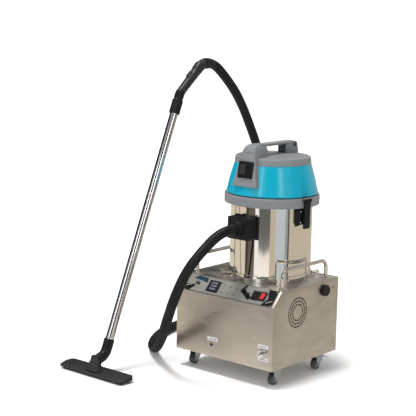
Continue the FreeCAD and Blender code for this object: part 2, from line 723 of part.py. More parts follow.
def on_face(obj, x, up, proud):
    y, z = face_spot(up, proud)
    return place(obj, S.drum_dx + x, S.drum_dy + y, z, (1, 0, 0), FACE_DEG)


plate = new_body("switch_plate")
frame_face = new_sketch(plate, "XY_Plane")
rectangle(frame_face, 0, 0, 75.0, 70.0)
rectangle(frame_face, -13.0, 0, 31.0, 43.0)
extrude(plate, frame_face, 5.0)
pin = new_sketch(plate, "YZ_Plane", lift=-30.0)
circle(pin, 0, HEAD_KEY_AXIS, 1.2)
extrude(plate, pin, 34.0)
on_face(plate, -2.0, 0, 0)
on_face(rocker("head_rocker", 30.0, 41.0, 6.5, 1.2), -15.0, 0, HEAD_KEY_AXIS)

for where, side_x in (("left", -1), ("right", 1)):
    latch = new_body("latch_" + where)
    lever = new_sketch(latch, "XZ_Plane")
    polygon(lever, [(201.6, 748.0), (202.4, 751.3), (204.7, 753.2), (207.0, 753.6),
                    (211.0, 754.5), (213.0, 752.0), (213.0, 720.0), (211.5, 640.0),
                    (209.0, 629.0), (201.0, 629.0), (199.6, 634.0), (199.6, 700.0),
                    (202.0, 712.0)])
    extrude(latch, lever, S.latch_w, both=True)
    bore = new_sketch(latch, "XZ_Plane")
    circle(bore, S.pivot_r, S.pivot_z, 2.55)
    carve(latch, bore, 60.0, both=True)
    on_drum(latch, 0, S.latch_deg + (0 if side_x > 0 else 180))

motor = turned("motor", [
    (0, 750.0), (5.0, 750.0), (5.0, 784.0), (58.0, 784.0), (62.0, 788.0), (62.0, 800.0),
    (58.0, 802.0), (58.0, 860.0), (52.0, 868.0), (20.0, 868.0), (20.0, 876.0), (0, 876.0)])
on_drum(motor)

impeller = turned("impeller", [(5.05, 752.0), (12.0, 752.0), (14.0, 772.0), (60.0, 772.0),
                               (60.0, 775.0), (14.0, 775.0), (12.0, 779.0), (5.05, 779.0)])
blade = new_sketch(impeller, "XY_Plane", lift=757.0)
polygon(blade, [(9.0, -1.5), (58.0, 9.0), (57.5, 11.5), (9.0, 1.5)])
polar(impeller, extrude(impeller, blade, 15.5), 9)
on_drum(impeller)

cage = turned("float_cage", [(40.0, 640.0), (50.0, 640.0), (50.0, 736.0), (60.0, 736.0),
                             (60.0, 739.7), (46.0, 739.7), (46.0, 644.0), (40.0, 644.0)])
slot = new_sketch(cage, "XZ_Plane", lift=30.0)
rectangle(slot, 0, 690.0, 14.0, 70.0)
polar(cage, carve(cage, slot, 40.0, back=True), 8)
on_drum(cage)


# ---------------------------------------------------------------- wand and floor tool
LEAN = math.radians(SIZES["wand_lean"])
UP_Y, UP_Z = -math.sin(LEAN), math.cos(LEAN)


def on_wand(obj, along):
    """Seat a body on the wand's line: its Z runs up the wand."""
    return place(obj, S.wand_x, S.bend_y + along * UP_Y, S.bend_z + along * UP_Z,
                 (1, 0, 0), S.wand_lean)


def tube_body(label, r, bore, low, high):
    return turned(label, [(bore, low), (r, low), (r, high), (bore, high)])


NECK = math.radians(SIZES["neck_deg"])
on_wand(tube_body("wand_tube", S.wand_r, S.wand_r - 1.5, S.wand_start, S.wand_end), 0)

# The elbow's Z runs up the wand from the bend; its other arm runs down to the floor tool.
ARM = 52.0
fold = math.radians(180.0 + SIZES["neck_deg"]) - math.atan2(UP_Z, UP_Y) + math.pi / 2
elbow = new_body("nozzle_elbow")
path = new_sketch(elbow, "YZ_Plane")
arm = V(math.cos(fold), math.sin(fold), 0)
up = V(0, 1, 0)
open_half = math.acos(arm.dot(up)) / 2
BEND = 30.0
reach = BEND / math.tan(open_half)
inward = (arm + up).normalize()
mid = inward * (BEND / math.sin(open_half) - BEND)
for piece in (Part.LineSegment(up * SIZES["wand_start"], up * reach),
              Part.Arc(up * reach, mid, arm * reach),
              Part.LineSegment(arm * reach, arm * ARM)):
    geo = path.addGeometry(piece, False)
    path.addConstraint(Sketcher.Constraint("Block", geo))
for kind, radius in (("PartDesign::AdditivePipe", 22.5), ("PartDesign::SubtractivePipe", 16.5)):
    profile = new_sketch(elbow, "XY_Plane", lift=S.wand_start)
    circle(profile, 0, 0, radius)
    pipe = elbow.newObject(kind, "elbow_pipe")
    pipe.Profile = profile
    pipe.Spine = path
    settle(elbow, pipe)
sleeve = new_sketch(elbow, "XY_Plane", lift=S.wand_start)
circle(sleeve, 0, 0, 22.5)
circle(sleeve, 0, 0, S.wand_r)
extrude(elbow, sleeve, 20.0)
on_wand(elbow, 0)

# The floor tool turns about the line of the elbow's lower arm.
NECK_Y, NECK_Z = -math.cos(NECK), -math.sin(NECK)


def simple(kind, label, **props):
    obj = doc.addObject(kind, label)
    for key, item in props.items():
        setattr(obj, key, number(item))
        bind(obj, key, item)
    return obj


def on_neck(obj, along):
    """Seat a primitive on the neck's line, its Z running down towards the floor tool."""
    return place(obj, S.wand_x, S.bend_y + along * NECK_Y, S.bend_z + along * NECK_Z,
                 (1, 0, 0), S.neck_deg + 90)


def corner_box(label, x, y, z, w, d, h):
    obj = simple("Part::Box", label, Length=w, Width=d, Height=h)
    return place(obj, x, y, z)


deck = corner_box("deck", S.wand_x - S.head_half, S.head_y - S.head_deep / 2, S.head_top - 17,
                  S.head_half * 2, S.head_deep, 17.0)
trim = doc.addObject("Part::Chamfer", "deck_trim")
trim.Base = deck
trim.Edges = [(i + 1, 9.0, 9.0) for i, edge in enumerate(deck.Shape.Edges)
              if abs(edge.tangentAt(edge.FirstParameter).z) > 0.99]
doc.recompute()
hood = on_neck(simple("Part::Cylinder", "hood_neck", Radius=27.5, Height=13.7), ARM + 0.3)
nose = on_neck(simple("Part::Sphere", "hood_nose", Radius=27.5), ARM + 14.0)
plinth = simple("Part::Wedge", "hood_plinth", Xmin=-42.0, Xmax=42.0, Ymin=0.0, Ymax=38.0, Zmin=-30.0,
                Zmax=22.0, X2min=-24.0, X2max=24.0, Z2min=-16.0, Z2max=-1.0)
place(plinth, S.wand_x, S.head_y, S.head_top - 5, (1, 0, 0), 90)
solid = doc.addObject("Part::MultiFuse", "head_solid")
solid.Shapes = [trim, hood, nose, plinth]
slope = corner_box("slope_cut", 0, 0, 0, 400.0, 60.0, 40.0)
place(slope, S.wand_x - 200, S.head_y - S.head_deep / 2, S.head_top - 12, (1, 0, 0), 16)
clear = corner_box("slope_spare", S.wand_x - 43, S.head_y - 30, S.head_top - 20, 86.0, 90.0, 90.0)
slope_tool = doc.addObject("Part::Cut", "slope_tool")
slope_tool.Base = slope
slope_tool.Tool = clear
throat = corner_box("throat", S.wand_x - S.head_half + 12, S.head_y - 12, S.head_top - 18,
                    S.head_half * 2 - 24, 24.0, 11.0)
slot_front = corner_box("slot_front", S.wand_x - S.head_half + 14, S.head_y - 27.0,
                        S.head_top - 18, S.head_half * 2 - 28, 6.0, 7.0)
slot_rear = corner_box("slot_rear", S.wand_x - S.head_half + 14, S.head_y + 21.0,
                       S.head_top - 18, S.head_half * 2 - 28, 6.0, 7.0)
bore = on_neck(simple("Part::Cylinder", "neck_bore", Radius=17.0, Height=19.0), ARM - 5)
bore_end = on_neck(simple("Part::Sphere", "neck_bore_end", Radius=17.0), ARM + 14.0)
behind = on_neck(simple("Part::Cylinder", "neck_clear", Radius=28.5, Height=20.0), ARM - 19.7)
tools = doc.addObject("Part::MultiFuse", "head_tools")
drop = simple("Part::Cylinder", "duct_drop", Radius=12.0, Height=38.0)
place(drop, S.wand_x, S.head_y - 6, S.head_top - 8)
tools.Shapes = [slope_tool, throat, slot_front, slot_rear, bore, bore_end, drop, behind]
nozzle = doc.addObject("Part::Cut", "nozzle_head")
nozzle.Base = solid
nozzle.Tool = tools

strip_front = corner_box("strip_front", S.wand_x - S.head_half + 15, S.head_y - 26.5, 0,
                         S.head_half * 2 - 30, 5.0, S.head_top - 11.5)
strip_rear = corner_box("strip_rear", S.wand_x - S.head_half + 15, S.head_y + 21.5, 0,
                        S.head_half * 2 - 30, 5.0, S.head_top - 11.5)
strips = doc.addObject("Part::Compound", "squeegee_strips")
strips.Links = [strip_front, strip_rear]

# ---------------------------------------------------------------- hand grip
CUFF_TOP = 1142.0
cuff = turned("wand_cuff", [
    (S.wand_r + 0, 1066.0), (22.5, 1066.0), (23.5, 1070.0), (23.5, 1124.0), (22.0, CUFF_TOP - 14),
    (S.wand_r - 3, CUFF_TOP - 14), (S.wand_r - 3, S.wand_end), (S.wand_r, S.wand_end)])
on_wand(cuff, 0)

GRIP_LOW = CUFF_TOP - 14
turn_1 = math.radians(90 + SIZES["wand_lean"]) - math.radians(SIZES["grip_deg"])
grip_dir = math.pi / 2 - turn_1
end_dir = math.pi / 2 - (math.radians(90 + SIZES["wand_lean"]) - math.radians(8.0))
corner_1 = (0, 34.0)
corner_2 = (corner_1[0] + 178.0 * math.cos(grip_dir), corner_1[1] + 178.0 * math.sin(grip_dir))
corner_3 = (corner_2[0] + 20.0 * math.cos(end_dir), corner_2[1] + 20.0 * math.sin(end_dir))
grip = new_body("handle_grip")
bent_tube(grip, [(0, 0), corner_1, corner_2, corner_3], 55.0, 21.0, 17.0)
on_wand(grip, GRIP_LOW)


def wand_point(y, z):
    """Machine point of a spot given in the grip's own YZ plane."""
    along = GRIP_LOW + z
    return (SIZES["bend_y"] + along * UP_Y + y * UP_Z, SIZES["bend_z"] + along * UP_Z - y * UP_Y)


slider = new_body("air_slider")
patch = new_sketch(slider, "XZ_Plane")
rectangle(patch, 0, 22.0, 18.0, 8.0)
extrude(slider, patch, 34.0, both=True)
hollow = new_sketch(slider, "XZ_Plane")
circle(hollow, 0, 0, 21.3)
carve(slider, hollow, 60.0, both=True)
spot = wand_point(corner_1[0] + 95.0 * math.cos(grip_dir), corner_1[1] + 95.0 * math.sin(grip_dir))
place(slider, S.wand_x, spot[0], spot[1], (1, 0, 0), S.grip_deg)

# ---------------------------------------------------------------- hose
grip_end = wand_point(*corner_3)
print("grip end, machine frame:", [round(item, 2) for item in grip_end])
ROUTE = [
    (22, -200, 627), (22, -210, 627), (22, -292, 621), (14, -376, 570), (-24, -434, 485), (-78, -442, 372),
    (-148, -410, 254), (-246, -332, 142), (-370, -234, 44), (-492, -132, 21), (-588, 20, 21),
    (-632, 180, 21), (-645, 350, 21), (-595, 500, 21), (-510, 610, 60), (-430, 660, 190),
    (-396, 655, 390), (-395, 595, 610), (-395, 510, 810), (-395, 415, 980), (-395, 322, 1120),
    (-395, 225, 1212), (-395, 133, 1279.76),
]
route = [V(SIZES["mach_x"] + x, SIZES["mach_y"] + y, z) for x, y, z in ROUTE]
end = V(SIZES["mach_x"] + SIZES["wand_x"], SIZES["mach_y"] + grip_end[0], grip_end[1])
route.append(end)


def runs_and_arcs(points):
    """Straight runs joined by tangent arcs, with the arcs' radii."""
    edges, radii, at = [], [], points[0]
    for before, spot, after in zip(points, points[1:], points[2:]):
        one, two = before - spot, after - spot
        shorter = min(one.Length, two.Length)
        one.normalize()
        two.normalize()
        half_turn = (math.pi - one.getAngle(two)) / 2
        cut = 0.45 * shorter
        radius = cut / math.tan(half_turn)
        radii.append(round(radius))
        first, last = spot + one * cut, spot + two * cut
        inner = (one + two).normalize()
        top = spot + inner * (radius / math.cos(half_turn) - radius)
        edges.append(Part.LineSegment(at, first).toShape())
        edges.append(Part.Arc(first, top, last).toShape())
        at = last
    edges.append(Part.LineSegment(at, points[-1]).toShape())
    return Part.Wire(edges), radii


wire, radii = runs_and_arcs(route)
hose_skin = []
for radius in (SIZES["hose_r"], SIZES["hose_bore"]):
    start_dir = (route[1] - route[0]).normalize()
    loop = Part.Wire([Part.Circle(route[0], start_dir, radius).toShape()])
    hose_skin.append(wire.makePipeShell([loop], True, False))
hose = doc.addObject("Part::Feature", "hose")
hose.Shape = hose_skin[0].cut(hose_skin[1])
section = math.pi * (SIZES["hose_r"] ** 2 - SIZES["hose_bore"] ** 2)
print("hose radii", radii)
print("hose length %.0f, volume ratio %.4f" % (
    wire.Length, hose.Shape.Volume / (section * wire.Length)))

# ---------------------------------------------------------------- export
doc.recompute()
NODES = [
    "box_shell", "base_plate", "control_panel", "display_module", "indicator_lamps",
    "rocker_housings", "rocker_dark", "rocker_red", "button_upper", "button_lower", "fan_frame",
    "fan_rotor", "boiler_tank", "water_tank", "filler_cap", "pump", "steam_outlet", "steam_collar",
    "drain_outlet", "handle_left", "handle_right", "fork_front_left", "fork_front_right",
    "fork_rear_left", "fork_rear_right", "wheel_front_left", "wheel_front_right",
    "wheel_rear_left", "wheel_rear_right", "brake_left", "brake_right", "drum_ring",
    "drum_shell", "thumb_screw_1", "thumb_screw_2", "thumb_screw_3", "thumb_screw_4",
    "inlet_block", "lock_ring", "latch_brackets", "head_collar", "motor_cover", "top_cap",
    "carry_handle", "switch_plate", "head_rocker", "latch_left", "latch_right", "motor",
    "impeller", "float_cage", "wand_tube", "nozzle_elbow", "nozzle_head", "squeegee_strips",
    "wand_cuff", "handle_grip", "air_slider", "hose",
]
os.makedirs("parts", exist_ok=True)
whole = FreeCAD.BoundBox()
for obj in doc.Objects:
    if "Invalid" in obj.State or "Error" in obj.State:
        raise SystemExit("%s did not recompute" % obj.Label)
for node in NODES:
    obj = doc.getObject(node)
    shape = obj.Shape
    if shape.isNull() or not shape.isValid():
        raise SystemExit("%s has no valid shape" % node)
    shape.exportStep("parts/%s.step" % node)
    if node != "hose":
        whole.add(shape.BoundBox)
print("nodes", len(NODES), "box without hose", whole)
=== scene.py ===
import json
from math import cos, pi, radians, sin

import bmesh
import bpy
from mathutils import Matrix, Vector


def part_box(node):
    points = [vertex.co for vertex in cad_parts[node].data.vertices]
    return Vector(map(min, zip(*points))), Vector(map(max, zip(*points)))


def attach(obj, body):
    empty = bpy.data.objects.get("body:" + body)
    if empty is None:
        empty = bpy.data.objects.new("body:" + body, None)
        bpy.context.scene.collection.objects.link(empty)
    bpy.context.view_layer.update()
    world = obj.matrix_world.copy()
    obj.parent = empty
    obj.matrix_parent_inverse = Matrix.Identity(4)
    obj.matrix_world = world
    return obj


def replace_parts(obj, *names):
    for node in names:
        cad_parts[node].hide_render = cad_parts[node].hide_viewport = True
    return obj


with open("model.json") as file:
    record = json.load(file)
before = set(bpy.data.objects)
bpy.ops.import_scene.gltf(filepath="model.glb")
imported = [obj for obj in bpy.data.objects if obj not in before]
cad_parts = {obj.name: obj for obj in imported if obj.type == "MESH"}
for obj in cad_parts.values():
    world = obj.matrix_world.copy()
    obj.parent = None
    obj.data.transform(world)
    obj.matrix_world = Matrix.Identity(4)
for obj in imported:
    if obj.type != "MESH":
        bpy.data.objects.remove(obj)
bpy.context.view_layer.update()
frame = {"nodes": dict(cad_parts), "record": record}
NODES = frame["nodes"]


def move(x, y, z):
    return Matrix.Translation((x, y, z))


def turn(degrees, axis):
    return Matrix.Rotation(radians(degrees), 4, axis)


def around(count):
    """Evenly spaced angles of one full turn."""
    return [2 * pi * k / count for k in range(count)]


def new_object(name, data):
    """An object with this data, linked into the scene."""
    obj = bpy.data.objects.new(name, data)
    bpy.context.scene.collection.objects.link(obj)
    return obj


BOX_MIDDLE = sum(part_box("box_shell"), Vector()) / 2
METRES = move(BOX_MIDDLE.x, BOX_MIDDLE.y, 0) @ Matrix.Scale(0.001, 4)


def at(x, y, z):
    """A machine point, in mm from the middle of the box on the floor, as frame metres."""
    return METRES @ Vector((x, y, z))


# ---------------- camera
CAM_AT = at(3139.9, -4063.8, 1572.6)
CAM_DEG = 40.15
CAM_AZ, CAM_PITCH, CAM_ROLL = radians(CAM_DEG), radians(9.82), radians(1.28)
SENSOR_MM, LENS_MM = 36, 106.85


def add_camera():
    ahead = Vector((-sin(CAM_AZ) * cos(CAM_PITCH),
                    cos(CAM_AZ) * cos(CAM_PITCH), -sin(CAM_PITCH)))
    level = Vector((cos(CAM_AZ), sin(CAM_AZ), 0))
    over = level.cross(ahead)
    right = level * cos(CAM_ROLL) + over * sin(CAM_ROLL)
    up = over * cos(CAM_ROLL) - level * sin(CAM_ROLL)
    data = bpy.data.cameras.new("Camera")
    data.sensor_width = SENSOR_MM
    data.lens = LENS_MM
    data.clip_end = 100
    camera = new_object("Camera", data)
    facing = Matrix((right, up, -ahead)).transposed()
    camera.matrix_world = Matrix.Translation(CAM_AT) @ facing.to_4x4()
    bpy.context.scene.camera = camera


add_camera()

# ---------------- sizes and places, in machine mm
BOX_X, BOX_Y, BOX_LOW, BOX_TOP, FACE_TOP, SLANT_BACK = 257.5, 227.5, 77.0, 400.0, 340.0, -170.5
SHEET_T, PANEL_T = 1.5, 2.0
FAN_Y, FAN_Z, VENT_R = -62.0, 295.0, 4.2
CAP_Y, CAP_Z = 124.0, 357.0
DRUM_R, RING_R, COLLAR_R = 172.5, 176.5, 201.0
COVER_LOW_R, COVER_TOP_R = 194.0, 161.5
INLET_Z, PIVOT_R, PIVOT_Z = 627, 207, 748
TOWER_Y, TOWER_Z, FACE_Z = -192, 797, 866
LATCH_DEG, SLANT_DEG, FACE_DEG = -8, 46.47, 79.73
WAND_DEG, NECK_DEG = 22.4, 17.5

NOWHERE = Matrix.Identity(4)
PORT = turn(90, "X")
EAST = turn(90, "Y")
SIDE_VIEW = Matrix(((0, 0, 1, 0), (1, 0, 0, 0), (0, 1, 0, 0), (0, 0, 0, 1)))
DRUM = move(22, 50, 0)
LATCH = DRUM @ turn(LATCH_DEG, "Z")
PANEL = move(0, -BOX_Y, FACE_TOP) @ turn(SLANT_DEG, "X") @ move(0, 0, PANEL_T)
FACE = DRUM @ move(0, TOWER_Y + (FACE_Z - TOWER_Z) * 27 / 149, FACE_Z) @ turn(FACE_DEG, "X")
BEND = Vector((-395, -520, 78))
WAND = Matrix.Translation(BEND) @ turn(-WAND_DEG, "X")
NECK = Matrix.Translation(BEND) @ turn(NECK_DEG + 90, "X")


# ---------------- materials
class Finish:
    """A node material, built up from small noise and bump layers."""

    def __init__(self, name, colour, rough, metal=0.0, gloss=0.5):
        self.material = bpy.data.materials.new(name)
        self.material.use_nodes = True
        self.tree = self.material.node_tree
        self.shader = self.tree.nodes["Principled BSDF"]
        self.set(self.shader, "Base Color", (*colour, 1))
        self.set(self.shader, "Roughness", rough)
        self.set(self.shader, "Metallic", metal)
        self.set(self.shader, "Specular IOR Level", gloss)
        self.spot = self.node("ShaderNodeTexCoord").outputs["Object"]
        self.last_bump = None

    def set(self, node, key, value):
        if isinstance(value, bpy.types.NodeSocket):
            self.tree.links.new(value, node.inputs[key])
        else:
            node.inputs[key].default_value = value

    def node(self, kind, inputs=None, **attributes):
        node = self.tree.nodes.new(kind)
        for key, value in attributes.items():
            setattr(node, key, value)
        for key, value in (inputs or {}).items():
            self.set(node, key, value)
        return node

    def noise(self, scale, detail=3.0, stretch=(1, 1, 1), distortion=0.0):
        spot = self.node("ShaderNodeMapping", {"Vector": self.spot, "Scale": stretch}).outputs[0]
        return self.node("ShaderNodeTexNoise", {
            "Vector": spot, "Scale": scale, "Detail": detail, "Distortion": distortion}).outputs["Fac"]

    def ramp(self, fac, low, high, start, end):
        return self.node("ShaderNodeMapRange", {
            "Value": fac, "From Min": low, "From Max": high, "To Min": start, "To Max": end},
            clamp=True).outputs[0]

    def colours(self, fac, one, two):
        mix = self.node("ShaderNodeMix", {0: fac, 6: (*one, 1), 7: (*two, 1)}, data_type="RGBA")
        self.set(self.shader, "Base Color", mix.outputs[2])

    def roughness(self, fac, low, high):
        self.set(self.shader, "Roughness", self.ramp(fac, 0.3, 0.7, low, high))

    def bump(self, fac, depth):
        """One more layer of relief on top of the earlier ones."""
        node = self.node("ShaderNodeBump", {"Height": fac, "Distance": depth})
        if self.last_bump:
            self.set(node, "Normal", self.last_bump)
        self.last_bump = node.outputs[0]
        self.set(self.shader, "Normal", self.last_bump)


def shade(colour, share):
    return tuple(min(1.0, part * share) for part in colour)


def plastic(name, colour, rough, grain, depth, uneven, gloss=0.5, metal=0.0):
    """Moulded plastic: fine grain, cloudy gloss, dust-lightened patches."""
    f = Finish(name, colour, rough, metal, gloss)
    cloud = f.noise(9, 5, distortion=0.4)
    f.colours(f.ramp(cloud, 0.35, 0.75, 0, 1), shade(colour, 1 - uneven), shade(colour, 1 + uneven))
    f.roughness(f.noise(14, 6), rough * 0.85, min(1, rough * 1.2))
    f.bump(f.noise(grain, 2), depth)
    return f


def steel(name, colour, rough, hairs, hair_depth, wave, uneven, smear=(1, 1, 1)):
    """Bare steel: hairlines along one direction, slow waviness, handling marks."""
    f = Finish(name, colour, rough, 1.0)
    cloud = f.noise(5, 5, distortion=0.8)
    f.colours(f.ramp(cloud, 0.3, 0.75, 0, 1), shade(colour, 1 - uneven), shade(colour, 1 + uneven))
    f.roughness(f.noise(11, 6, stretch=smear, distortion=0.5), rough * 0.75, rough * 1.35)
    if wave:
        f.bump(f.noise(3.5, 1), wave)
    f.bump(f.noise(1.0, 2, stretch=hairs), hair_depth)
    return f


BRUSHED = steel("brushed_sheet", (0.585, 0.545, 0.485), 0.36, (2, 2, 420), 0.000008, 0.0003, 0.08,
                (1.0, 1.0, 5.0))
PLATE = steel("base_sheet", (0.46, 0.43, 0.385), 0.30, (6, 300, 6), 0.000012, 0.0004, 0.1)
MIRROR = steel("mirror_drum", (0.80, 0.775, 0.73), 0.06, (200, 200, 3), 0.000002, 0.0003, 0.03)
BRIGHT = steel("bright_tube", (0.74, 0.70, 0.64), 0.13, (30, 30, 30), 0.000004, 0, 0.05)
CHROME = steel("chrome_tube", (0.80, 0.79, 0.80), 0.10, (40, 40, 40), 0.000003, 0, 0.04)
WAND_STEEL = steel("wand_steel", (0.72, 0.71, 0.72), 0.08, (40, 40, 40), 0.000002, 0, 0.04)
ZINC = steel("zinc_pressing", (0.33, 0.37, 0.40), 0.34, (60, 60, 60), 0.00003, 0, 0.14)
CAST = steel("cast_housing", (0.5, 0.5, 0.51), 0.5, (900, 900, 900), 0.0001, 0, 0.12)
PANEL_FACE = plastic("panel_overlay", (0.29, 0.283, 0.262), 0.36, 500, 0.00001, 0.06, metal=0.5)
BLACK = plastic("black_moulded", (0.0095, 0.0093, 0.0096), 0.46, 700, 0.00005, 0.25, 0.25)
SATIN = plastic("black_satin", (0.008, 0.008, 0.009), 0.33, 600, 0.00002, 0.2, 0.3)
GREY = plastic("grey_moulded", (0.205, 0.217, 0.228), 0.45, 900, 0.00005, 0.04, 0.25)
TEAL = plastic("teal_moulded", (0.0005, 0.345, 0.49), 0.21, 800, 0.00002, 0.03, 0.45)
WHITE = plastic("natural_tank", (0.78, 0.78, 0.74), 0.45, 500, 0.0001, 0.04)
GRIP = plastic("soft_grip", (0.022, 0.022, 0.024), 0.42, 900, 0.00005, 0.2, 0.35)
TOOL = plastic("tool_plastic", (0.028, 0.0275, 0.030), 0.55, 700, 0.0001, 0.2, 0.25)
RUBBER = plastic("blade_rubber", (0.02, 0.019, 0.018), 0.62, 600, 0.00008, 0.25, 0.2)
HOSE = plastic("hose_plastic", (0.0085, 0.0085, 0.009), 0.40, 400, 0.00003, 0.35, 0.25)
RED = plastic("red_key", (0.60, 0.030, 0.02), 0.3, 900, 0.00003, 0.1, 0.3)
LENS = plastic("lamp_lens", (0.16, 0.05, 0.04), 0.25, 300, 0.00003, 0.2)
GLASS = plastic("display_window", (0.12, 0.115, 0.17), 0.25, 250, 0.00002, 0.15)
LABEL = plastic("blank_label", (0.62, 0.62, 0.64), 0.4, 400, 0.00003, 0.04)
INK = plastic("printed_grey", (0.27, 0.26, 0.28), 0.4, 400, 0.00003, 0.3)
DEEP = plastic("overlay_black", (0.008, 0.008, 0.009), 0.25, 500, 0.00001, 0.2, 0.3)
SEA = plastic("overlay_teal", (0.012, 0.035, 0.05), 0.25, 500, 0.00001, 0.3, 0.3)
SILVER = plastic("overlay_light", (0.30, 0.29, 0.26), 0.35, 500, 0.00002, 0.15)


def tyre_finish():
    """Black tread rubber with fine scuffs."""
    f = Finish("caster_wheel", (0.03, 0.03, 0.03), 0.5)
    f.colours(f.noise(60, 5), (0.020, 0.020, 0.021), (0.045, 0.044, 0.043))
    f.roughness(f.noise(90, 5), 0.38, 0.6)
    f.bump(f.noise(700, 3), 0.0001)
    return f


TYRE = tyre_finish()
FINISH_OF = {
    "brushed_steel": BRUSHED, "polished_steel": BRIGHT, "zinc_steel": ZINC, "wheel_rubber": TYRE,
    "panel_silver": PANEL_FACE, "black_plastic": BLACK, "red_plastic": RED, "lamp_lens": LENS,
    "white_plastic": WHITE, "cast_metal": CAST, "grey_plastic": GREY, "teal_plastic": TEAL,
    "grip_plastic": GRIP, "squeegee_rubber": RUBBER, "hose_plastic": HOSE,
}
OWN_FINISH = {
    "base_plate": PLATE, "wand_tube": WAND_STEEL, "rocker_dark": SATIN, "head_rocker": SATIN,
    "button_upper": SATIN, "button_lower": SATIN, "steam_outlet": CHROME, "steam_collar": CHROME,
    "drain_outlet": CHROME, "drum_ring": MIRROR, "fan_rotor": SATIN,
}
for part in frame["record"]["subparts"]:
    slots = NODES[part["node"]].data.materials
    slots.clear()
    slots.append(OWN_FINISH.get(part["node"], FINISH_OF[part["material_slot"]]).material)


# ---------------- mesh building
class Build:
    """A mesh made up in machine mm, turned into one object that rides on a body."""

    def __init__(self, place=NOWHERE):
        self.mesh = bmesh.new()
        self.place = place

    def vert(self, x, y, z):
        return self.mesh.verts.new(self.place @ Vector((x, y, z)))

    def prism(self, outline, low, high, sink=0.0):
        """Polygon outline in local x and y, from z low to z high; sink pulls in the top edge."""
        middle = Vector((sum(p[0] for p in outline), sum(p[1] for p in outline))) / len(outline)
        rings = []
        for z, draw in ((low, 0), (high, sink)):
            ring = []
            for x, y in outline:
                away = Vector((x, y)) - middle
                spot = middle + away * (1 - draw / max(away.length, 1e-6))
                ring.append(self.vert(spot.x, spot.y, z))
            rings.append(ring)
        self.skin(rings)

    def skin(self, rings):
        """Faces between rings of equal count, closed at both ends."""
        for one, two in zip(rings, rings[1:]):
            count = len(one)
            for k in range(count):
                self.mesh.faces.new((one[k], one[(k + 1) % count], two[(k + 1) % count], two[k]))
        self.mesh.faces.new(list(reversed(rings[0])))
        self.mesh.faces.new(rings[-1])

    def lathe(self, profile, segs, shape=None):
        """Turn a profile of (radius, height) points about local z; shape moves (r, z, angle)."""
        rings = []
        for angle in around(segs):
            ring = []
            for r, z in profile:
                if shape:
                    r, z = shape(r, z, angle)
                ring.append(self.vert(r * cos(angle), r * sin(angle), z))
            rings.append(ring)
        count = len(profile)
        for one, two in zip(rings, rings[1:] + rings[:1]):
            for i in range(count):
                j = (i + 1) % count
                self.mesh.faces.new((one[i], two[i], two[j], one[j]))
        bmesh.ops.remove_doubles(self.mesh, verts=self.mesh.verts, dist=1e-4)
        return self

    def turned(self, profile, radius, steps, segs, shape=None):
        """A lathe shape whose profile corners are rounded first."""
        return self.lathe(rounded(profile, radius, steps), segs, shape)

    def cuboid(self, x0, x1, y0, y1, z0, z1):
        self.prism([(x0, y0), (x1, y0), (x1, y1), (x0, y1)], z0, z1)

    def done(self, name, body, slot, finish, bevel=0.0, smooth=38, segments=3, limit=40):
        """Round the edges sharper than limit and hand the mesh over as one riding object."""
        bmesh.ops.recalc_face_normals(self.mesh, faces=self.mesh.faces)
        if bevel:
            sharp = [edge for edge in self.mesh.edges
                     if len(edge.link_faces) == 2 and edge.calc_face_angle() > radians(limit)]
            bmesh.ops.bevel(self.mesh, geom=sharp, offset=bevel, segments=segments,
                            affect="EDGES", profile=0.6, clamp_overlap=True)
        self.mesh.transform(METRES)
        data = bpy.data.meshes.new(name)
        self.mesh.to_mesh(data)
        self.mesh.free()
        obj = new_object(name, data)
        data.materials.append(finish.material)
        for face in data.polygons:
            face.use_smooth = True
        data.set_sharp_from_angle(angle=radians(smooth))
        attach(obj, body)
        return obj


def rect(x, y, w, h):
    """Rectangle outline about its middle."""
    return [(x - w / 2, y - h / 2), (x + w / 2, y - h / 2), (x + w / 2, y + h / 2),
            (x - w / 2, y + h / 2)]


def smoothstep(a, b, x):
    t = max(0.0, min(1.0, (x - a) / (b - a)))
    return t * t * (3 - 2 * t)


def rounded(profile, radius, steps):
    """Profile with each corner turned into a small arc, apart from corners on the axis."""
    out = []
    count = len(profile)
    for i, spot in enumerate(profile):
        spot = Vector(spot)
        before, after = Vector(profile[i - 1]), Vector(profile[(i + 1) % count])
        one, two = before - spot, after - spot
        cut = min(radius, one.length * 0.45, two.length * 0.45)
        if cut < 0.05 or spot.x < 0.01:
            out.append(tuple(spot))
            continue
        first, last = spot + one.normalized() * cut, spot + two.normalized() * cut
        for k in range(steps + 1):
            t = k / steps
            out.append(tuple(first * (1 - t) ** 2 + spot * 2 * t * (1 - t) + last * t ** 2))
    return out


def path_of(points):
    """Points along the smooth spline whose control points these are, as Blender gives them."""
    curve = bpy.data.curves.new("line", "CURVE")
    curve.dimensions = "3D"
    spline = curve.splines.new("NURBS")
    spline.points.add(len(points) - 1)
    for spot, point in zip(points, spline.points):
        point.co = (*spot, 1)
    spline.order_u = 3
    spline.use_endpoint_u = True
    curve.resolution_u = 16
    holder = new_object("line", curve)
    mesh = bpy.data.meshes.new_from_object(holder)
    spots = [vert.co.copy() for vert in mesh.vertices]
    bpy.data.objects.remove(holder)
    bpy.data.meshes.remove(mesh)
    bpy.data.curves.remove(curve)
    return spots


def even_steps(points, step):
    """The same line walked in equal steps."""
    out, carry = [points[0].copy()], 0.0
    for a, b in zip(points, points[1:]):
        run = (b - a).length
        while carry + run >= step:
            a = a.lerp(b, (step - carry) / run)
            run = (b - a).length
            carry = 0.0
            out.append(a.copy())
        carry += run
    return out


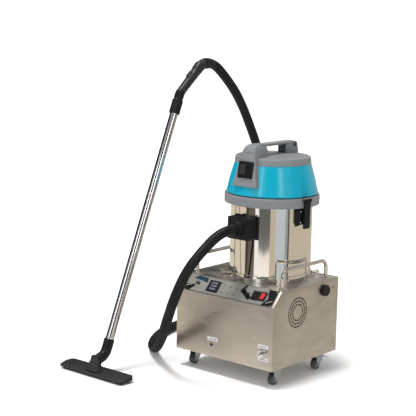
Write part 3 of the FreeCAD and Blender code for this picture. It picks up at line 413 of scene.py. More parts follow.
def sweep(points, radius, segs, side=None):
    """Skin a tube along points in metres; radius is a function of (share of the length, step, angle)."""
    build = Build()
    count = len(points)
    rings = []
    for i in range(count):
        ahead, back = points[min(i + 1, count - 1)], points[max(i - 1, 0)]
        tangent = (ahead - back).normalized()
        if side is None:
            side = tangent.orthogonal()
        side = (side - tangent * side.dot(tangent)).normalized()
        other = tangent.cross(side)
        ring = []
        for angle in around(segs):
            r = radius(i / (count - 1), i, angle)
            ring.append(build.mesh.verts.new(
                points[i] + side * (r * cos(angle)) + other * (r * sin(angle))))
        rings.append(ring)
    build.skin(rings)
    build.mesh.transform(METRES.inverted())
    return build


# ---------------- base box
def round_hole(mesh, place, x, y, r, count):
    """A closed loop of edges for one round hole."""
    verts = [mesh.verts.new(place @ Vector((x + r * cos(angle), y + r * sin(angle), 0)))
             for angle in around(count)]
    return [mesh.edges.new((verts[k], verts[(k + 1) % count])) for k in range(count)]


def side_holes(mesh, middle):
    """Three rings of vent holes, the filler hole and a small plug hole."""
    place = move(middle.x, 0, 0) @ SIDE_VIEW
    made = []
    for ring_r, count in ((34.0, 20), (47.5, 28), (61.0, 36)):
        for angle in around(count):
            made.append(round_hole(mesh, place, FAN_Y + ring_r * cos(angle),
                                   FAN_Z + ring_r * sin(angle), VENT_R, 14))
    made.append(round_hole(mesh, place, CAP_Y, CAP_Z, 17.0, 40))
    made.append(round_hole(mesh, place, CAP_Y + 63, CAP_Z + 4, 4.0, 20))
    return made


def front_holes(mesh, middle):
    """Holes for the steam nipple and the drain."""
    place = move(0, middle.y, 0) @ PORT
    return [round_hole(mesh, place, 210, 147, 10.0, 32), round_hole(mesh, place, -59, 127, 6.0, 28)]


def base_box():
    """Folded sheet box: rounded folds, drilled vent, filler and outlet holes with real depth."""
    build = Build()
    mesh = build.mesh
    outline = [(-BOX_Y, BOX_LOW), (-BOX_Y, FACE_TOP), (SLANT_BACK, BOX_TOP), (BOX_Y, BOX_TOP),
               (BOX_Y, BOX_LOW)]
    rings = [[build.vert(x, y, z) for y, z in outline] for x in (-BOX_X, BOX_X)]
    build.skin(rings)
    bmesh.ops.recalc_face_normals(mesh, faces=mesh.faces)
    low = [face for face in mesh.faces if abs(face.normal.z) > 0.99
           and face.calc_center_median().z < BOX_LOW + 1]
    bmesh.ops.delete(mesh, geom=low, context="FACES_ONLY")
    folds = [edge for edge in mesh.edges if len(edge.link_faces) == 2]
    bmesh.ops.bevel(mesh, geom=folds, offset=2.6, segments=4, affect="EDGES", profile=0.5)
    mesh.normal_update()
    side = [face for face in mesh.faces if face.normal.x > 0.999][0]
    front = [face for face in mesh.faces if face.normal.y < -0.999][0]
    for face, drill, inward in ((side, side_holes, (-SHEET_T, 0, 0)),
                                (front, front_holes, (0, SHEET_T, 0))):
        edges, middle = list(face.edges), face.calc_center_median()
        bmesh.ops.delete(mesh, geom=[face], context="FACES_ONLY")
        holes = drill(mesh, middle)
        for hole in holes:
            edges += hole
        bmesh.ops.triangle_fill(mesh, use_beauty=True, edges=edges)
        for hole in holes:
            walls = bmesh.ops.extrude_edge_only(mesh, edges=hole)["geom"]
            moved = [item for item in walls if isinstance(item, bmesh.types.BMVert)]
            bmesh.ops.translate(mesh, verts=moved, vec=inward)
    rim = [edge for edge in mesh.edges if len(edge.link_faces) == 1
           and all(vert.co.z < BOX_LOW + 0.5 for vert in edge.verts)]
    lip = 12
    for item in bmesh.ops.extrude_edge_only(mesh, edges=rim)["geom"]:
        if isinstance(item, bmesh.types.BMVert):
            item.co.x *= 1 - lip / BOX_X
            item.co.y *= 1 - lip / BOX_Y
    box = build.done("base_box", "machine", "brushed_steel", BRUSHED, smooth=50)
    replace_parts(box, "box_shell")


base_box()


def seam_strips():
    """Lid joint: a shallow raised fold that runs along the top of the side walls."""
    build = Build()
    for x in (-BOX_X, BOX_X):
        build.cuboid(x - 0.35, x + 0.35, SLANT_BACK + 6, BOX_Y - 4, BOX_TOP - 16.5, BOX_TOP - 15.7)
    build.done("lid_seams", "machine", "brushed_steel", PLATE)


seam_strips()


# ---------------- front and side fittings
def label_plates():
    """Blank plates over the ports, each with one plain grey stripe."""
    plates, stripes = Build(PORT), Build(PORT)
    for x, z, wide, high in ((-56.5, 153.5, 57, 16), (212, 173.5, 54, 14), (212, 121, 54, 14)):
        plates.prism(rect(x, z, wide, high), BOX_Y, BOX_Y + 0.35)
        stripes.prism(rect(x, z - 0.3, 0.72 * wide, 3.8), BOX_Y + 0.3, BOX_Y + 0.45)
    plates.done("blank_labels", "machine", "white_plastic", LABEL)
    stripes.done("label_stripes", "machine", "white_plastic", INK)


label_plates()


def filler_cap():
    """Screw cap with finger flutes and a domed, recessed face."""
    def flutes(r, z, angle):
        return (r - 0.9 * (0.5 + 0.5 * cos(24 * angle)) if r > 22 and z > 2 else r), z

    profile = rounded([(0, -14), (11.5, -14), (11.5, 6), (21.5, 0.4), (23.9, 1.4), (23.9, 13),
                       (21, 15), (17.5, 15), (15.5, 13), (0, 14)], 1.0, 3)
    cap = Build(move(BOX_X, CAP_Y, CAP_Z) @ EAST).lathe(profile, 192, flutes)
    cap.cuboid(-14, 14, -2.4, 2.4, 13, 14.8)
    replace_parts(cap.done("filler_knob", "tank_cap", "black_plastic", SATIN), "filler_cap")


filler_cap()


# ---------------- panel
def on_panel(name, shapes, finish, slot, low=0.0, high=0.25):
    """Printed or stuck-on shapes, a hair above the panel's face."""
    build = Build(PANEL)
    for shape in shapes:
        build.prism(shape, low, high)
    build.done(name, "machine", slot, finish)


def panel_parts():
    """Plain overlay shapes, border, screws, lamp rings and button collars."""
    on_panel("panel_marks_dark", [
        [(64, 58), (79, 79), (91, 79), (78, 58), (128, 27), (117, 12), (62, 47)],
        [(197, 79.2), (244.2, 78.5), (244.2, 5), (188, 2.5), (200, 20), (211, 36), (203, 56)],
        [(-240, 3), (-190, 3), (-168, 30), (-222, 30)],
        [(-214, 12), (-180, 40), (-172, 40), (-204, 10)],
    ], DEEP, "black_plastic")
    on_panel("panel_marks_sea", [
        [(-196, 62), (-118, 52), (-122, 74), (-176, 78)],
        [(-176, 36), (-150, 34), (-158, 54), (-182, 56)],
    ], SEA, "black_plastic")
    on_panel("panel_marks_light", [
        [(-232, 44), (-150, 50), (-150, 53), (-232, 47)],
        [(-150, 24), (-112, 46), (-114, 49), (-152, 27)],
        [(-216, 18), (-176, 38), (-178, 41), (-218, 21)],
        [(210, 14), (236, 30), (234, 33), (208, 17)],
    ], SILVER, "panel_silver", 0.2, 0.4)
    on_panel("panel_border", [
        rect(0, 2.2, 488, 1.2), rect(0, 79.8, 488, 1.2), rect(-243.4, 41, 1.2, 77),
        rect(243.4, 41, 1.2, 77),
    ], DEEP, "black_plastic", 0.0, 0.2)
    screws = Build()
    for x in (-238, 238):
        for y in (8, 74):
            screws.place = PANEL @ move(x, y, 0)
            screws.turned([(0, 0), (3.6, 0), (3.4, 0.9), (1.6, 2.0), (0, 2.1)], 0.5, 3, 28)
    screws.done("panel_screws", "machine", "polished_steel", CHROME)
    rings = Build()
    for x in (-26.0, 7.5, 41.0):
        for y in (21.5, 53.5):
            rings.place = PANEL @ move(x, y, 0)
            rings.turned([(2.9, -0.2), (4.9, 0), (4.4, 1.6), (3.2, 1.8), (2.9, 1.4)], 0.4, 3, 32)
    rings.done("lamp_rings", "machine", "polished_steel", BRIGHT)
    for x, y, number in ((79.0, 53.0, 1), (106.0, 36.0, 2)):
        collar = Build(PANEL @ move(x, y, 0))
        collar.turned([(8.4, 0.1), (11.4, 0.1), (10.9, 2.2), (8.6, 2.5)], 0.6, 3, 48)
        collar.done("button_collar_%d" % number, "machine", "black_plastic", SATIN)


panel_parts()


def display():
    """Display module: chamfered bezel round three separate windows."""
    place = PANEL @ move(-77, 40, 0)
    build = Build(place)
    wide, high = 62, 56
    build.prism(rect(0, 0, 0.98 * wide, 0.98 * high), 0.05, 2.0)
    build.prism(rect(0, 0, 0.93 * wide, 0.93 * high), 1.8, 4.9, 2.5)
    obj = build.done("display_bezel", "machine", "black_plastic", SATIN, 1.2)
    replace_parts(obj, "display_module")
    panes = Build(place)
    for y in (-14.0, 0.5, 14.5):
        panes.prism(rect(1, y, 32, 9.5), 4.6, 5.0, 0.6)
    panes.done("display_windows", "machine", "black_plastic", GLASS, 0.15)


display()


# ---------------- drum
def drum():
    """Polished drum with a rolled rim, and the ring round its foot with ten screw heads."""
    r = DRUM_R
    profile = [(r - 1.5, 403.2), (0, 403.2), (0, 401.7), (r - 3, 401.7), (r, 404.5), (r, 560),
               (r, 722), (r, 728.5), (r + 1.0, 730), (r + 3.1, 731.2), (r + 3.5, 733),
               (r + 2.4, 734.8), (r - 0.4, 735), (r - 1.5, 733), (r - 1.5, 560)]
    build = Build(DRUM).lathe(profile, 320)
    obj = build.done("tank_drum", "machine", "polished_steel", MIRROR, smooth=30)
    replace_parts(obj, "drum_shell")
    ring = Build(DRUM)
    r = RING_R
    ring.turned([(r - 3.6, 400), (r + 0.1, 400), (r + 0.1, 425), (r - 2, 425.6), (r - 3.6, 425)],
                0.9, 3, 320)
    for angle in around(10):
        ring.place = DRUM @ Matrix.Rotation(angle + 0.18, 4, "Z") @ move(r, 0, 409) @ EAST
        ring.turned([(0, -1), (3.2, -1), (3.2, 1.0), (2.0, 2.0), (0, 2.2)], 0.4, 2, 16)
    ring.done("ring_cover", "machine", "polished_steel", MIRROR, smooth=35)


drum()


def inlet():
    """Suction inlet: saddle flange, ribbed block, screw bosses and a spigot."""
    place = DRUM @ move(0, 0, INLET_Z) @ PORT
    build = Build(place)
    build.prism(rect(0, 0, 123, 97), 150, 171.5)
    build.prism(rect(0, 0, 109.4, 91.4), 165, 226)
    build.prism(rect(0, 0, 98, 80), 224, 229.4, 1.0)
    obj = build.done("inlet_body", "machine", "black_plastic", BLACK, 3.2, segments=4)
    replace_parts(obj, "inlet_block")
    trim = Build(place)
    for x in (-56.6, 56.6):
        for y in (-30, -15, 0, 15, 30):
            trim.cuboid(x - 1.0 if x < 0 else x - 2.4, x + 2.4 if x < 0 else x + 1.0,
                        y - 1.6, y + 1.6, 176, 221)
    for x in (-41, 41):
        for y in (-32, 32):
            trim.place = place @ move(x, y, 229)
            trim.turned([(0, 0), (6.0, 0), (5.6, 1.8), (3.2, 1.8), (3.0, 0.6), (0, 0.6)], 0.5, 3, 28)
    trim.place = place
    trim.turned([(18.5, 228), (34, 228), (33, 233), (25.5, 235), (24, 236), (24, 249.6),
                 (22, 250), (18.5, 250)], 1.2, 3, 96)
    trim.done("inlet_trim", "machine", "black_plastic", BLACK, smooth=45)

    def knurl(r, z, angle):
        return (r + max(0, cos(20 * angle)) if r > 28.5 and z < 15 else r), z

    ring = Build(DRUM @ move(0, -230, INLET_Z) @ PORT)
    ring.turned([(24.1, 6.6), (31, 6.6), (32, 8), (32, 14), (30, 17), (24.1, 17)], 1.0, 3, 200, knurl)
    for x in (-31, 31):
        ring.cuboid(x - 3, x + 3, -6, 6, 8, 14)
    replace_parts(ring.done("hose_ring", "hose_lock", "black_plastic", SATIN), "lock_ring")


inlet()


def latch_pads():
    """Brackets on the drum that the latches close over, with screw heads."""
    build = Build(LATCH)
    for sign in (-1, 1):
        for y0, y1 in ((-30, -17.5), (17.5, 30)):
            build.cuboid(*sorted((sign * 170, sign * 196)), y0, y1, 646, 711)
        build.cuboid(*sorted((sign * 170, sign * 194)), -18, 18, 646, 711)
    obj = build.done("drum_brackets", "machine", "black_plastic", BLACK, 1.6)
    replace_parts(obj, "latch_brackets")
    heads = Build()
    for sign in (-1, 1):
        for y in (-24, 24):
            for z in (656, 702):
                heads.place = LATCH @ move(sign * 196, y, z) @ turn(90 * sign, "Y")
                heads.turned([(0, -0.5), (3.4, -0.5), (3.2, 1.0), (1.8, 1.9), (0, 2.0)], 0.4, 2, 20)
    heads.done("bracket_screws", "machine", "polished_steel", CHROME)


latch_pads()


# ---------------- vacuum head
def latch_gap(angle):
    """Signed angle in radians from the nearer of the two latches."""
    return (angle - radians(LATCH_DEG) + pi / 2) % pi - pi / 2


def motor_cover():
    """Teal cover: a soft cone with a tapering recess above each latch."""
    def dent(r, z, angle):
        if r < 150 or z > 868:
            return r, z
        reach = 15.0 * (1 - 0.65 * smoothstep(762, 862, z))
        away = abs(latch_gap(angle)) * r
        depth = 5.0 * (1 - smoothstep(790, 868, z)) + 1.4
        return r - depth * (1 - smoothstep(reach * 0.72, reach, away)), z

    low, high = 761.2, 883.2
    profile = [(189, 759.0), (192.6, 759.0), (193.7, 759.8), (COVER_LOW_R, low)]
    for k in range(1, 24):
        t = k / 24
        bulge = 1.4 * sin(pi * t)
        profile.append((COVER_LOW_R + (COVER_TOP_R - COVER_LOW_R) * t + bulge, low + (high - low) * t))
    profile += [(COVER_TOP_R, high + 0.2), (160.6, 885), (150, 885), (150, 882), (158, 880),
                (186, 776)]
    cover = Build(DRUM).lathe(profile, 720, dent).done(
        "teal_cover", "vacuum_head", "teal_plastic", TEAL, smooth=32)
    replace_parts(cover, "motor_cover")
    # Painted shade: a black ring stands in for the shadow in the gap between the teal cover and the grey
    # collar.
    gap_shade = Build(DRUM).turned([(180, 746), (189.6, 752), (190.6, 754), (190.6, 759.6),
                                 (180, 759.6)], 0.8, 2, 200)
    gap_shade.done("cover_gap_shade", "vacuum_head", "black_plastic", RUBBER)


motor_cover()


def head_collar():
    """Grey collar: rolled lips, a fine parting line and the latch ears."""
    def lumps(r, z, angle):
        if r > 199 and 717 < z < 754:
            r -= 0.5 * smoothstep(0.985, 1.0, cos(4 * angle))
        return r, z

    r = COLLAR_R
    profile = rounded([(42, 740), (166, 740), (166, 736), (197, 736), (197, 715.3), (200, 715),
                       (r, 717), (r, 733.4), (r - 0.6, 734), (r - 0.6, 735), (r, 735.6), (r, 752),
                       (198.6, 755), (191, 755), (187, 746), (42, 746)], 0.9, 3)
    build = Build(DRUM).lathe(profile, 480, lumps)
    obj = build.done("collar_ring", "vacuum_head", "grey_plastic", GREY, smooth=32)
    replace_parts(obj, "head_collar")
    ears = Build(LATCH)
    for sign in (-1, 1):
        for y in (-19.5, 19.5):
            ears.cuboid(*sorted((sign * 196, sign * 212.6)), y - 2.4, y + 2.4, 740.4, 753.6)
    ears.done("latch_ears", "vacuum_head", "grey_plastic", BLACK, 1.0)
    pins = Build()
    for sign in (-1, 1):
        pins.place = LATCH @ move(sign * PIVOT_R, 0, PIVOT_Z) @ PORT
        pins.turned([(0, -24), (2.45, -24), (2.45, 24), (0, 24)], 0.5, 2, 24)
    pins.done("latch_pins", "vacuum_head", "polished_steel", CHROME)


head_collar()


def top_cap():
    """Grey lid: a slightly drawn-in wall, a rounded shoulder and a low dome."""
    wall_r, wall_z, shoulder_r, shoulder_z = 161.9, 886.4, 151.6, 906.4
    profile = [(161.7, 884.6), (wall_r, wall_z)]
    for k in range(1, 8):
        profile.append((wall_r - 2.8 * k / 7, wall_z + 19.8 * k / 7))
    for k in range(1, 9):
        angle = radians(10 * k)
        profile.append((shoulder_r + 7.5 * cos(angle), shoulder_z + 6.6 * sin(angle)))
    for k in range(1, 12):
        t = k / 11
        profile.append((151.4 * (1 - t) + 2 * t, 913.1 + 6.9 * sin(pi / 2 * t)))
    profile += [(0, 920.1), (0, 917), (80, 915), (150, 909), (158, 886)]
    obj = Build(DRUM).lathe(profile, 320).done("cap_shell", "vacuum_head", "grey_plastic", GREY, smooth=30)
    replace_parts(obj, "top_cap")


top_cap()


BAR_LOW = 956


def carry_handle():
    """Tower on the front of the head that runs over into the handle bar and a rear block."""
    stations = [(TOWER_Y, TOWER_Z, 63.5), (-187.5, 822.0, 58.0), (-183.0, 847.0, 52.6),
                (-178.4, 872.0, 47.2), (-173.9, 897.0, 41.8), (-169.4, 922.0, 36.6),
                (-165.4, 943.0, 32.4), (-161.0, 952.0, 30.2), (-154.6, 959.4, 27.4),
                (-146.5, 964.2, 24.8), (-137.0, 966.6, 23.2), (-118.0, 967.4, 22.9),
                (-90.0, 967.7, 22.8)]
    build = Build(DRUM)
    rings = []
    for y, z, w in stations:
        under = min(z, BAR_LOW + 1)
        rear_y = -84 + 0.2 * min(45, BAR_LOW + 1 - under)
        rings.append([build.vert(-w, y, z), build.vert(w, y, z), build.vert(w, rear_y, under),
                      build.vert(-w, rear_y, under)])
    build.skin(rings)
    tower = build.done("handle_tower", "vacuum_head", "grey_plastic", GREY, 5.5, smooth=42, segments=5,
                       limit=50)
    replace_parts(tower, "carry_handle")
    bar = Build(DRUM @ SIDE_VIEW)
    bar.prism([(-96, BAR_LOW), (62, BAR_LOW), (62, 966.9), (-96, 967.6)], -22.8, 22.8)
    bar.done("handle_bar", "vacuum_head", "grey_plastic", GREY, 4.2, smooth=42, segments=5)
    rear = Build(DRUM @ SIDE_VIEW)
    rear.prism([(60, 905), (146, 905), (145.8, 930), (139, 957), (129, 966), (74, 967), (67, 967),
                (60, 966.8)], -22.9, 22.9)
    rear.done("handle_rear", "vacuum_head", "grey_plastic", GREY, 3.2, smooth=42, segments=4)
    # Painted shade: a thin black sheet darkens a small recess in the side of the rear block, and black
    # slats darken its shaded front face.
    dark = Build(DRUM)
    dark.cuboid(22.4, 23.2, 111, 129, 944, 958)
    for k in range(6):
        dark.cuboid(-18, 18, 59.2, 61, 920 + 5.8 * k, 923.4 + 5.8 * k)
    dark.done("handle_shade_marks", "vacuum_head", "black_plastic", BLACK, 0.5)
    rim = Build(FACE)
    outline = [(-61, -66), (61, -66), (33.5, 74), (-33.5, 74)]
    inner = [(-57, -62.6), (57, -62.6), (30.5, 71), (-30.5, 71)]
    for k in range(4):
        after = (k + 1) % 4
        rim.prism([outline[k], outline[after], inner[after], inner[k]], -1.0, 1.0)
    rim.done("tower_rim", "vacuum_head", "grey_plastic", GREY, 0.7)


carry_handle()


def switch_parts():
    """Black switch plate round a dished rocker, with grip ribs beside it."""
    place = FACE @ move(-2, 0, 0)
    bezel = Build(place)
    for shape in (rect(-32.6, 0, 9.6, 69), rect(20.1, 0, 34.8, 69), rect(-13, 28.2, 33, 12.6),
                  rect(-13, -28.2, 33, 12.6)):
        bezel.prism(shape, -0.5, 4.9)
    plate = bezel.done("switch_bezel", "vacuum_head", "black_plastic", SATIN, 0.9)
    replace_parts(plate, "switch_plate")
    extra = Build(place)
    extra.prism(rect(-13, 0, 31.4, 43.4), -5.8, -4.6)
    for y in (-24, -16, -8, 0, 8, 16, 24):
        extra.prism(rect(22, y, 22, 2.2), 4.7, 5.6, 0.3)
    extra.lathe([(0, 0), (1.15, 0), (1.15, 1), (0, 1)], 12)
    extra.done("switch_ribs", "vacuum_head", "black_plastic", BLACK, 0.3)
    key = Build(FACE @ move(-15, 0, 3.5) @ SIDE_VIEW)
    outline = [(-19.9, 0.8), (-19.9, 6.3), (-17.5, 6.4)]
    for k in range(9):
        t = k / 8
        outline.append((-14 + 28 * t, 5.4 - 3.2 * sin(pi * t) - 1.6 * t))
    outline += [(17.5, 4.5), (19.9, 4.3), (19.9, 0.8), (6, -4.9), (-6, -4.9)]
    key.prism(outline, -14.4, 14.4)
    obj = key.done("power_rocker", "power_key", "black_plastic", GRIP, 0.6)
    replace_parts(obj, "head_rocker")


switch_parts()


def latch(side, degrees):
    """One latch lever with its grip ribs; its body is called after its side too."""
    body = "clip_" + side
    place = LATCH @ turn(degrees, "Z")
    build = Build(place @ PORT)
    build.prism([(201.7, 748), (202.5, 751.2), (204.8, 753.0), (207, 753.4), (210.8, 754),
                 (212.6, 751), (212.6, 720), (211.4, 668), (213.0, 655), (211.4, 640), (208.8, 629.4),
                 (201.4, 629.4), (200.0, 634), (200.0, 700), (202.2, 712)], -15.8, 15.8)
    obj = build.done("clip_lever_" + side, body, "black_plastic", SATIN, 1.3)
    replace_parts(obj, "latch_" + side)
    ribs = Build(place)
    for y in (-9, 9):
        ribs.cuboid(211.0, 212.95, y - 1.4, y + 1.4, 672, 742)
    for k in range(5):
        ribs.cuboid(209.6, 212.9, -11, 11, 636 + 6 * k, 638.6 + 6 * k)
    ribs.done("clip_ribs_" + side, body, "black_plastic", SATIN, 0.4)


latch("right", 0)
latch("left", 180)


# ---------------- casters: hub discs and axle caps
def wheel_trim():
    """Hub discs that roll with each wheel, and axle caps outside each fork."""
    trail, wheel_r = 14, 25
    for where, x, y in (("front_left", -213, -145), ("front_right", 213, -145),
                        ("rear_left", -213, 155), ("rear_right", 213, 155)):
        discs, caps = Build(), Build()
        for sign in (-1, 1):
            discs.place = move(x, y - trail, wheel_r) @ turn(90 * sign, "Y")
            discs.turned([(4.4, 5.4), (6.8, 5.8), (7.4, 8.9), (8.6, 9.2), (9.2, 6.4),
                          (15.6, 6.2), (16.6, 8.3), (17.4, 8.6), (17.4, 5.6), (4.4, 5.0)], 0.4, 2, 48)
            caps.place = discs.place @ move(0, 0, 15.4)
            caps.turned([(0, 0), (6.3, 0), (6.3, 2.6), (4.4, 3.0), (4.0, 4.2), (0, 4.6)], 0.5, 2, 24)
        discs.done("hub_disc_" + where, "roll_" + where, "grey_plastic", GREY)
        caps.done("axle_caps_" + where, "swivel_" + where, "zinc_steel", ZINC)


wheel_trim()


# ---------------- wand, cuff and hand grip
def wand_parts():
    """Fluted cuff at the wand's top and a bead at its foot."""
    def grooves(r, z, angle):
        if r > 22.4 and 1072 < z < 1122:
            r -= 0.5 * max(0.0, cos(12 * angle))
        return r, z

    cuff = Build(WAND).turned([
        (18.2, 1066), (22.2, 1066), (23.3, 1068), (23.5, 1071), (23.5, 1099), (22.9, 1100),
        (22.9, 1103), (23.5, 1104), (23.5, 1123), (22.2, 1128), (15.2, 1128), (15.2, 1080)],
        0.6, 3, 144, grooves)
    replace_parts(cuff.done("cuff_sleeve", "machine", "black_plastic", BLACK), "wand_cuff")
    tip = Build(WAND).turned([(18.0, 64), (18.9, 64.2), (19.2, 66), (18.9, 71), (18.0, 71.4)], 0.4, 2, 96)
    tip.done("wand_bead", "machine", "polished_steel", CHROME)


wand_parts()

# Where the grip starts along the wand and how far it runs straight, in mm; then its two bends.
GRIP_LOW, GRIP_STRAIGHT = 1128.0, 34.0
GRIP_DEG, END_DEG = 41.0, 8.0
# Step along the grip and the elbow, in metres.
WALK = 0.001


def lean(degrees):
    """Direction in the wand's own y and z of a line that rises at this angle from the floor."""
    angle = radians(WAND_DEG + degrees)
    return Vector((cos(angle), sin(angle)))


def in_grip(spot):
    return METRES @ (WAND @ Vector((0, spot.x, GRIP_LOW + spot.y)))


def hand_grip():
    """Bent hand grip: smooth back, serrated underside, growing towards the hose."""
    along = lean(GRIP_DEG)
    first = Vector((0, GRIP_STRAIGHT))
    second = first + along * 178
    knots = [Vector((0, 0)), Vector((0, 12)), first, first + along * 40, second - along * 30, second,
             second + lean(END_DEG) * 20]
    line = even_steps(path_of([in_grip(knot) for knot in knots]), WALK)
    count = len(line)
    start = Vector((1, 0, 0))

    def surface(share, step, angle):
        length = step * WALK
        grown = 0.0188 + 0.0030 * smoothstep(0.15, 0.95, share)
        if share < 0.04:
            grown += 0.0010
        under = max(0.0, sin(angle))
        bulge = smoothstep(0.69, 0.80, share) * (1 - smoothstep(0.88, 0.92, share))
        grown += 0.0034 * bulge * (0.35 + 0.65 * max(0.0, -sin(angle)))
        if 0.19 < share < 0.93:
            wave = 0.5 + 0.5 * cos(2 * pi * length / 0.0125)
            grown += under ** 2 * (0.0022 - 0.0034 * wave ** 2)
            grown -= 0.0012 * max(0.0, -sin(angle)) ** 6
        if share > 0.93:
            grown += 0.0004 * cos(2 * pi * length / 0.004)
        return grown

    obj = sweep(line, surface, 64, start).done(
        "grip_body", "machine", "grip_plastic", GRIP, smooth=50)
    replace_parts(obj, "handle_grip")

    def fluted(share, step, angle):
        return 0.0203 + 0.0006 * cos(10 * angle) * (0.15 < share < 0.85)

    sweep(line[int(count * 0.03):int(count * 0.17)], fluted, 80, start).done(
        "grip_band", "machine", "black_plastic", BLACK, smooth=40)


hand_grip()


def air_slider():
    """Ribbed slide on top of the grip that opens the false air hole."""
    up_grip = lean(GRIP_DEG) * 95
    spot = WAND @ Vector((0, up_grip.x, GRIP_LOW + GRIP_STRAIGHT + up_grip.y))
    place = (Matrix.Translation(spot) @ turn(GRIP_DEG, "X")
             @ Matrix(((1, 0, 0, 0), (0, 0, 1, 0), (0, 1, 0, 0), (0, 0, 0, 1))))
    inner = [(21.6 * sin(0.1 * k), 21.6 * cos(0.1 * k)) for k in range(-4, 5)]
    crown = [(25.2 * sin(0.085 * k), 25.2 * cos(0.085 * k)) for k in range(4, -5, -1)]
    shell = Build(place)
    shell.prism(inner + crown, -16.6, 16.6)
    slide = shell.done("air_slide", "air_gate", "grip_plastic", GRIP, 0.6)
    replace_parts(slide, "air_slider")
    ribs = Build(place)
    for k in range(7):
        ribs.prism([(-6.5, 24.3), (6.5, 24.3), (6.0, 25.9), (-6.0, 25.9)], -13.2 + 4 * k, -11 + 4 * k)
    ribs.done("air_slide_ribs", "air_gate", "grip_plastic", GRIP, 0.3)


air_slider()


# ---------------- elbow and floor tool
def elbow():
    """Bent black tube from the wand's foot to the floor tool's neck."""
    neck, wand = radians(NECK_DEG), radians(WAND_DEG)
    down = Vector((0, -cos(neck), -sin(neck)))
    up = Vector((0, sin(wand), cos(wand)))
    knots = [BEND + up * 66, BEND + up * 34, BEND + up * 12, BEND + down * 12, BEND + down * 30,
             BEND + down * 52]
    line = even_steps(path_of([METRES @ knot for knot in knots]), WALK)

    def surface(share, step, angle):
        r = 0.0224
        if share < 0.05:
            r = 0.0218
        if 0.05 <= share < 0.10:
            r = 0.0225
        if 0.60 < share < 0.64:
            r = 0.0212
        if share > 0.97:
            r = 0.0216
        return r - 0.0005 * max(0.0, cos(8 * angle)) * (0.12 < share < 0.56)

    obj = sweep(line, surface, 96, Vector((1, 0, 0))).done(
        "elbow_tube", "machine", "black_plastic", SATIN, smooth=40)
    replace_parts(obj, "nozzle_elbow")


elbow()


def floor_tool():
    """Wide floor head: sloping ribbed plate with cut corners, end teeth and a fairing to the neck."""
    x0, x1, y0, y1 = -577.3, -212.7, -613.8, -534.2

    def deck(y):
        return min(27.0, 15.4 + (y - y0) * 0.287)

    build = Build(SIDE_VIEW)
    build.prism([(y0 + 1, 10), (y0, 11), (y0, 15.0), (y0 + 0.8, 15.7), (-572.4, 27.0), (y1 + 3, 27.0),
                 (y1, 24.0), (y1, 11), (y1 - 1, 10)], x0, x1)
    mesh = build.mesh
    for x, away in ((x0, -1), (x1, 1)):
        for y, out in ((y0, -1), (y1, 1)):
            bmesh.ops.bisect_plane(mesh, geom=mesh.verts[:] + mesh.edges[:] + mesh.faces[:],
                                   plane_co=(x - away * 9, y, 0), plane_no=(away, out, 0),
                                   clear_outer=True)
            bmesh.ops.holes_fill(mesh, edges=mesh.edges, sides=0)
    plate = build.done("tool_plate", "floor_tool", "black_plastic", TOOL, 1.0, smooth=30, segments=2)
    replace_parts(plate, "nozzle_head")
    ribs = Build()
    for k in range(9):
        y = y0 + 5 + 8.6 * k
        for a, b in ((x0 + 13, -440.0), (-350.0, x1 - 13)):
            ribs.cuboid(a, b, y - 1.2, y + 1.2, deck(y) - 1.0, min(deck(y) + 0.7, 27.6))
    for x in (x0 + 0.3, x1 - 0.3):
        for k in range(6):
            y = y0 + 15 + 10 * k
            ribs.cuboid(x - 0.6, x + 0.6, y - 3.2, y + 3.2, 10.6, deck(y) - 2.4)
    ribs.done("tool_ribs", "floor_tool", "black_plastic", TOOL, 0.35, segments=2)
    hood = Build()
    rings = []
    stations, mid_x = 14, BEND.x
    for i in range(stations + 1):
        t = i / stations
        pinch = sin(pi * t)
        ring = []
        for angle in around(56):
            side, rise = cos(angle), sin(angle)
            top = NECK @ Vector((26.6 * side, 26.6 * rise, 53.0))
            squareness = max(abs(side), abs(rise)) ** 0.6
            foot = Vector((mid_x + 41 * side / squareness, -578.5 - 26.0 * rise / squareness, 25.0))
            spot = top.lerp(foot, smoothstep(0, 1, t) * 0.5 + t * 0.5)
            spot.x += (mid_x - spot.x) * 0.10 * pinch
            spot.y -= 3.0 * pinch * max(0.0, rise)
            ring.append(hood.mesh.verts.new(spot))
        rings.append(ring)
    hood.skin(rings)
    hood.done("tool_hood", "floor_tool", "black_plastic", TOOL, smooth=40)
    collar = Build(NECK)
    collar.turned([(19, 52.5), (27.3, 52.5), (28.0, 53.4), (28.0, 57.6), (26.8, 59), (19, 59)],
                  0.7, 3, 96)
    collar.done("hood_ring", "floor_tool", "black_plastic", SATIN)


floor_tool()


# ---------------- hose
# Points the hose is led along, in machine mm, from the inlet over the floor to the grip.
ROUTE = [
    (22, -200, 627), (22, -210, 627), (22, -292, 621), (14, -376, 570), (-24, -434, 485),
    (-78, -442, 372), (-148, -410, 254), (-246, -332, 142), (-370, -234, 44), (-492, -132, 21),
    (-588, 20, 21), (-632, 180, 21), (-645, 350, 21), (-595, 500, 21), (-510, 610, 60),
    (-430, 660, 190), (-396, 655, 390), (-395, 595, 610), (-395, 510, 810), (-395, 415, 980),
    (-395, 322, 1120), (-395, 225, 1212), (-395, 133, 1279.76), (-395, 76.95, 1271.88),
]
# Hose diameter, rib pitch and the radii across one rib, in metres.
RIB_PITCH, RIB_RADII = 0.0052, (0.0209, 0.0207, 0.0198, 0.0198)


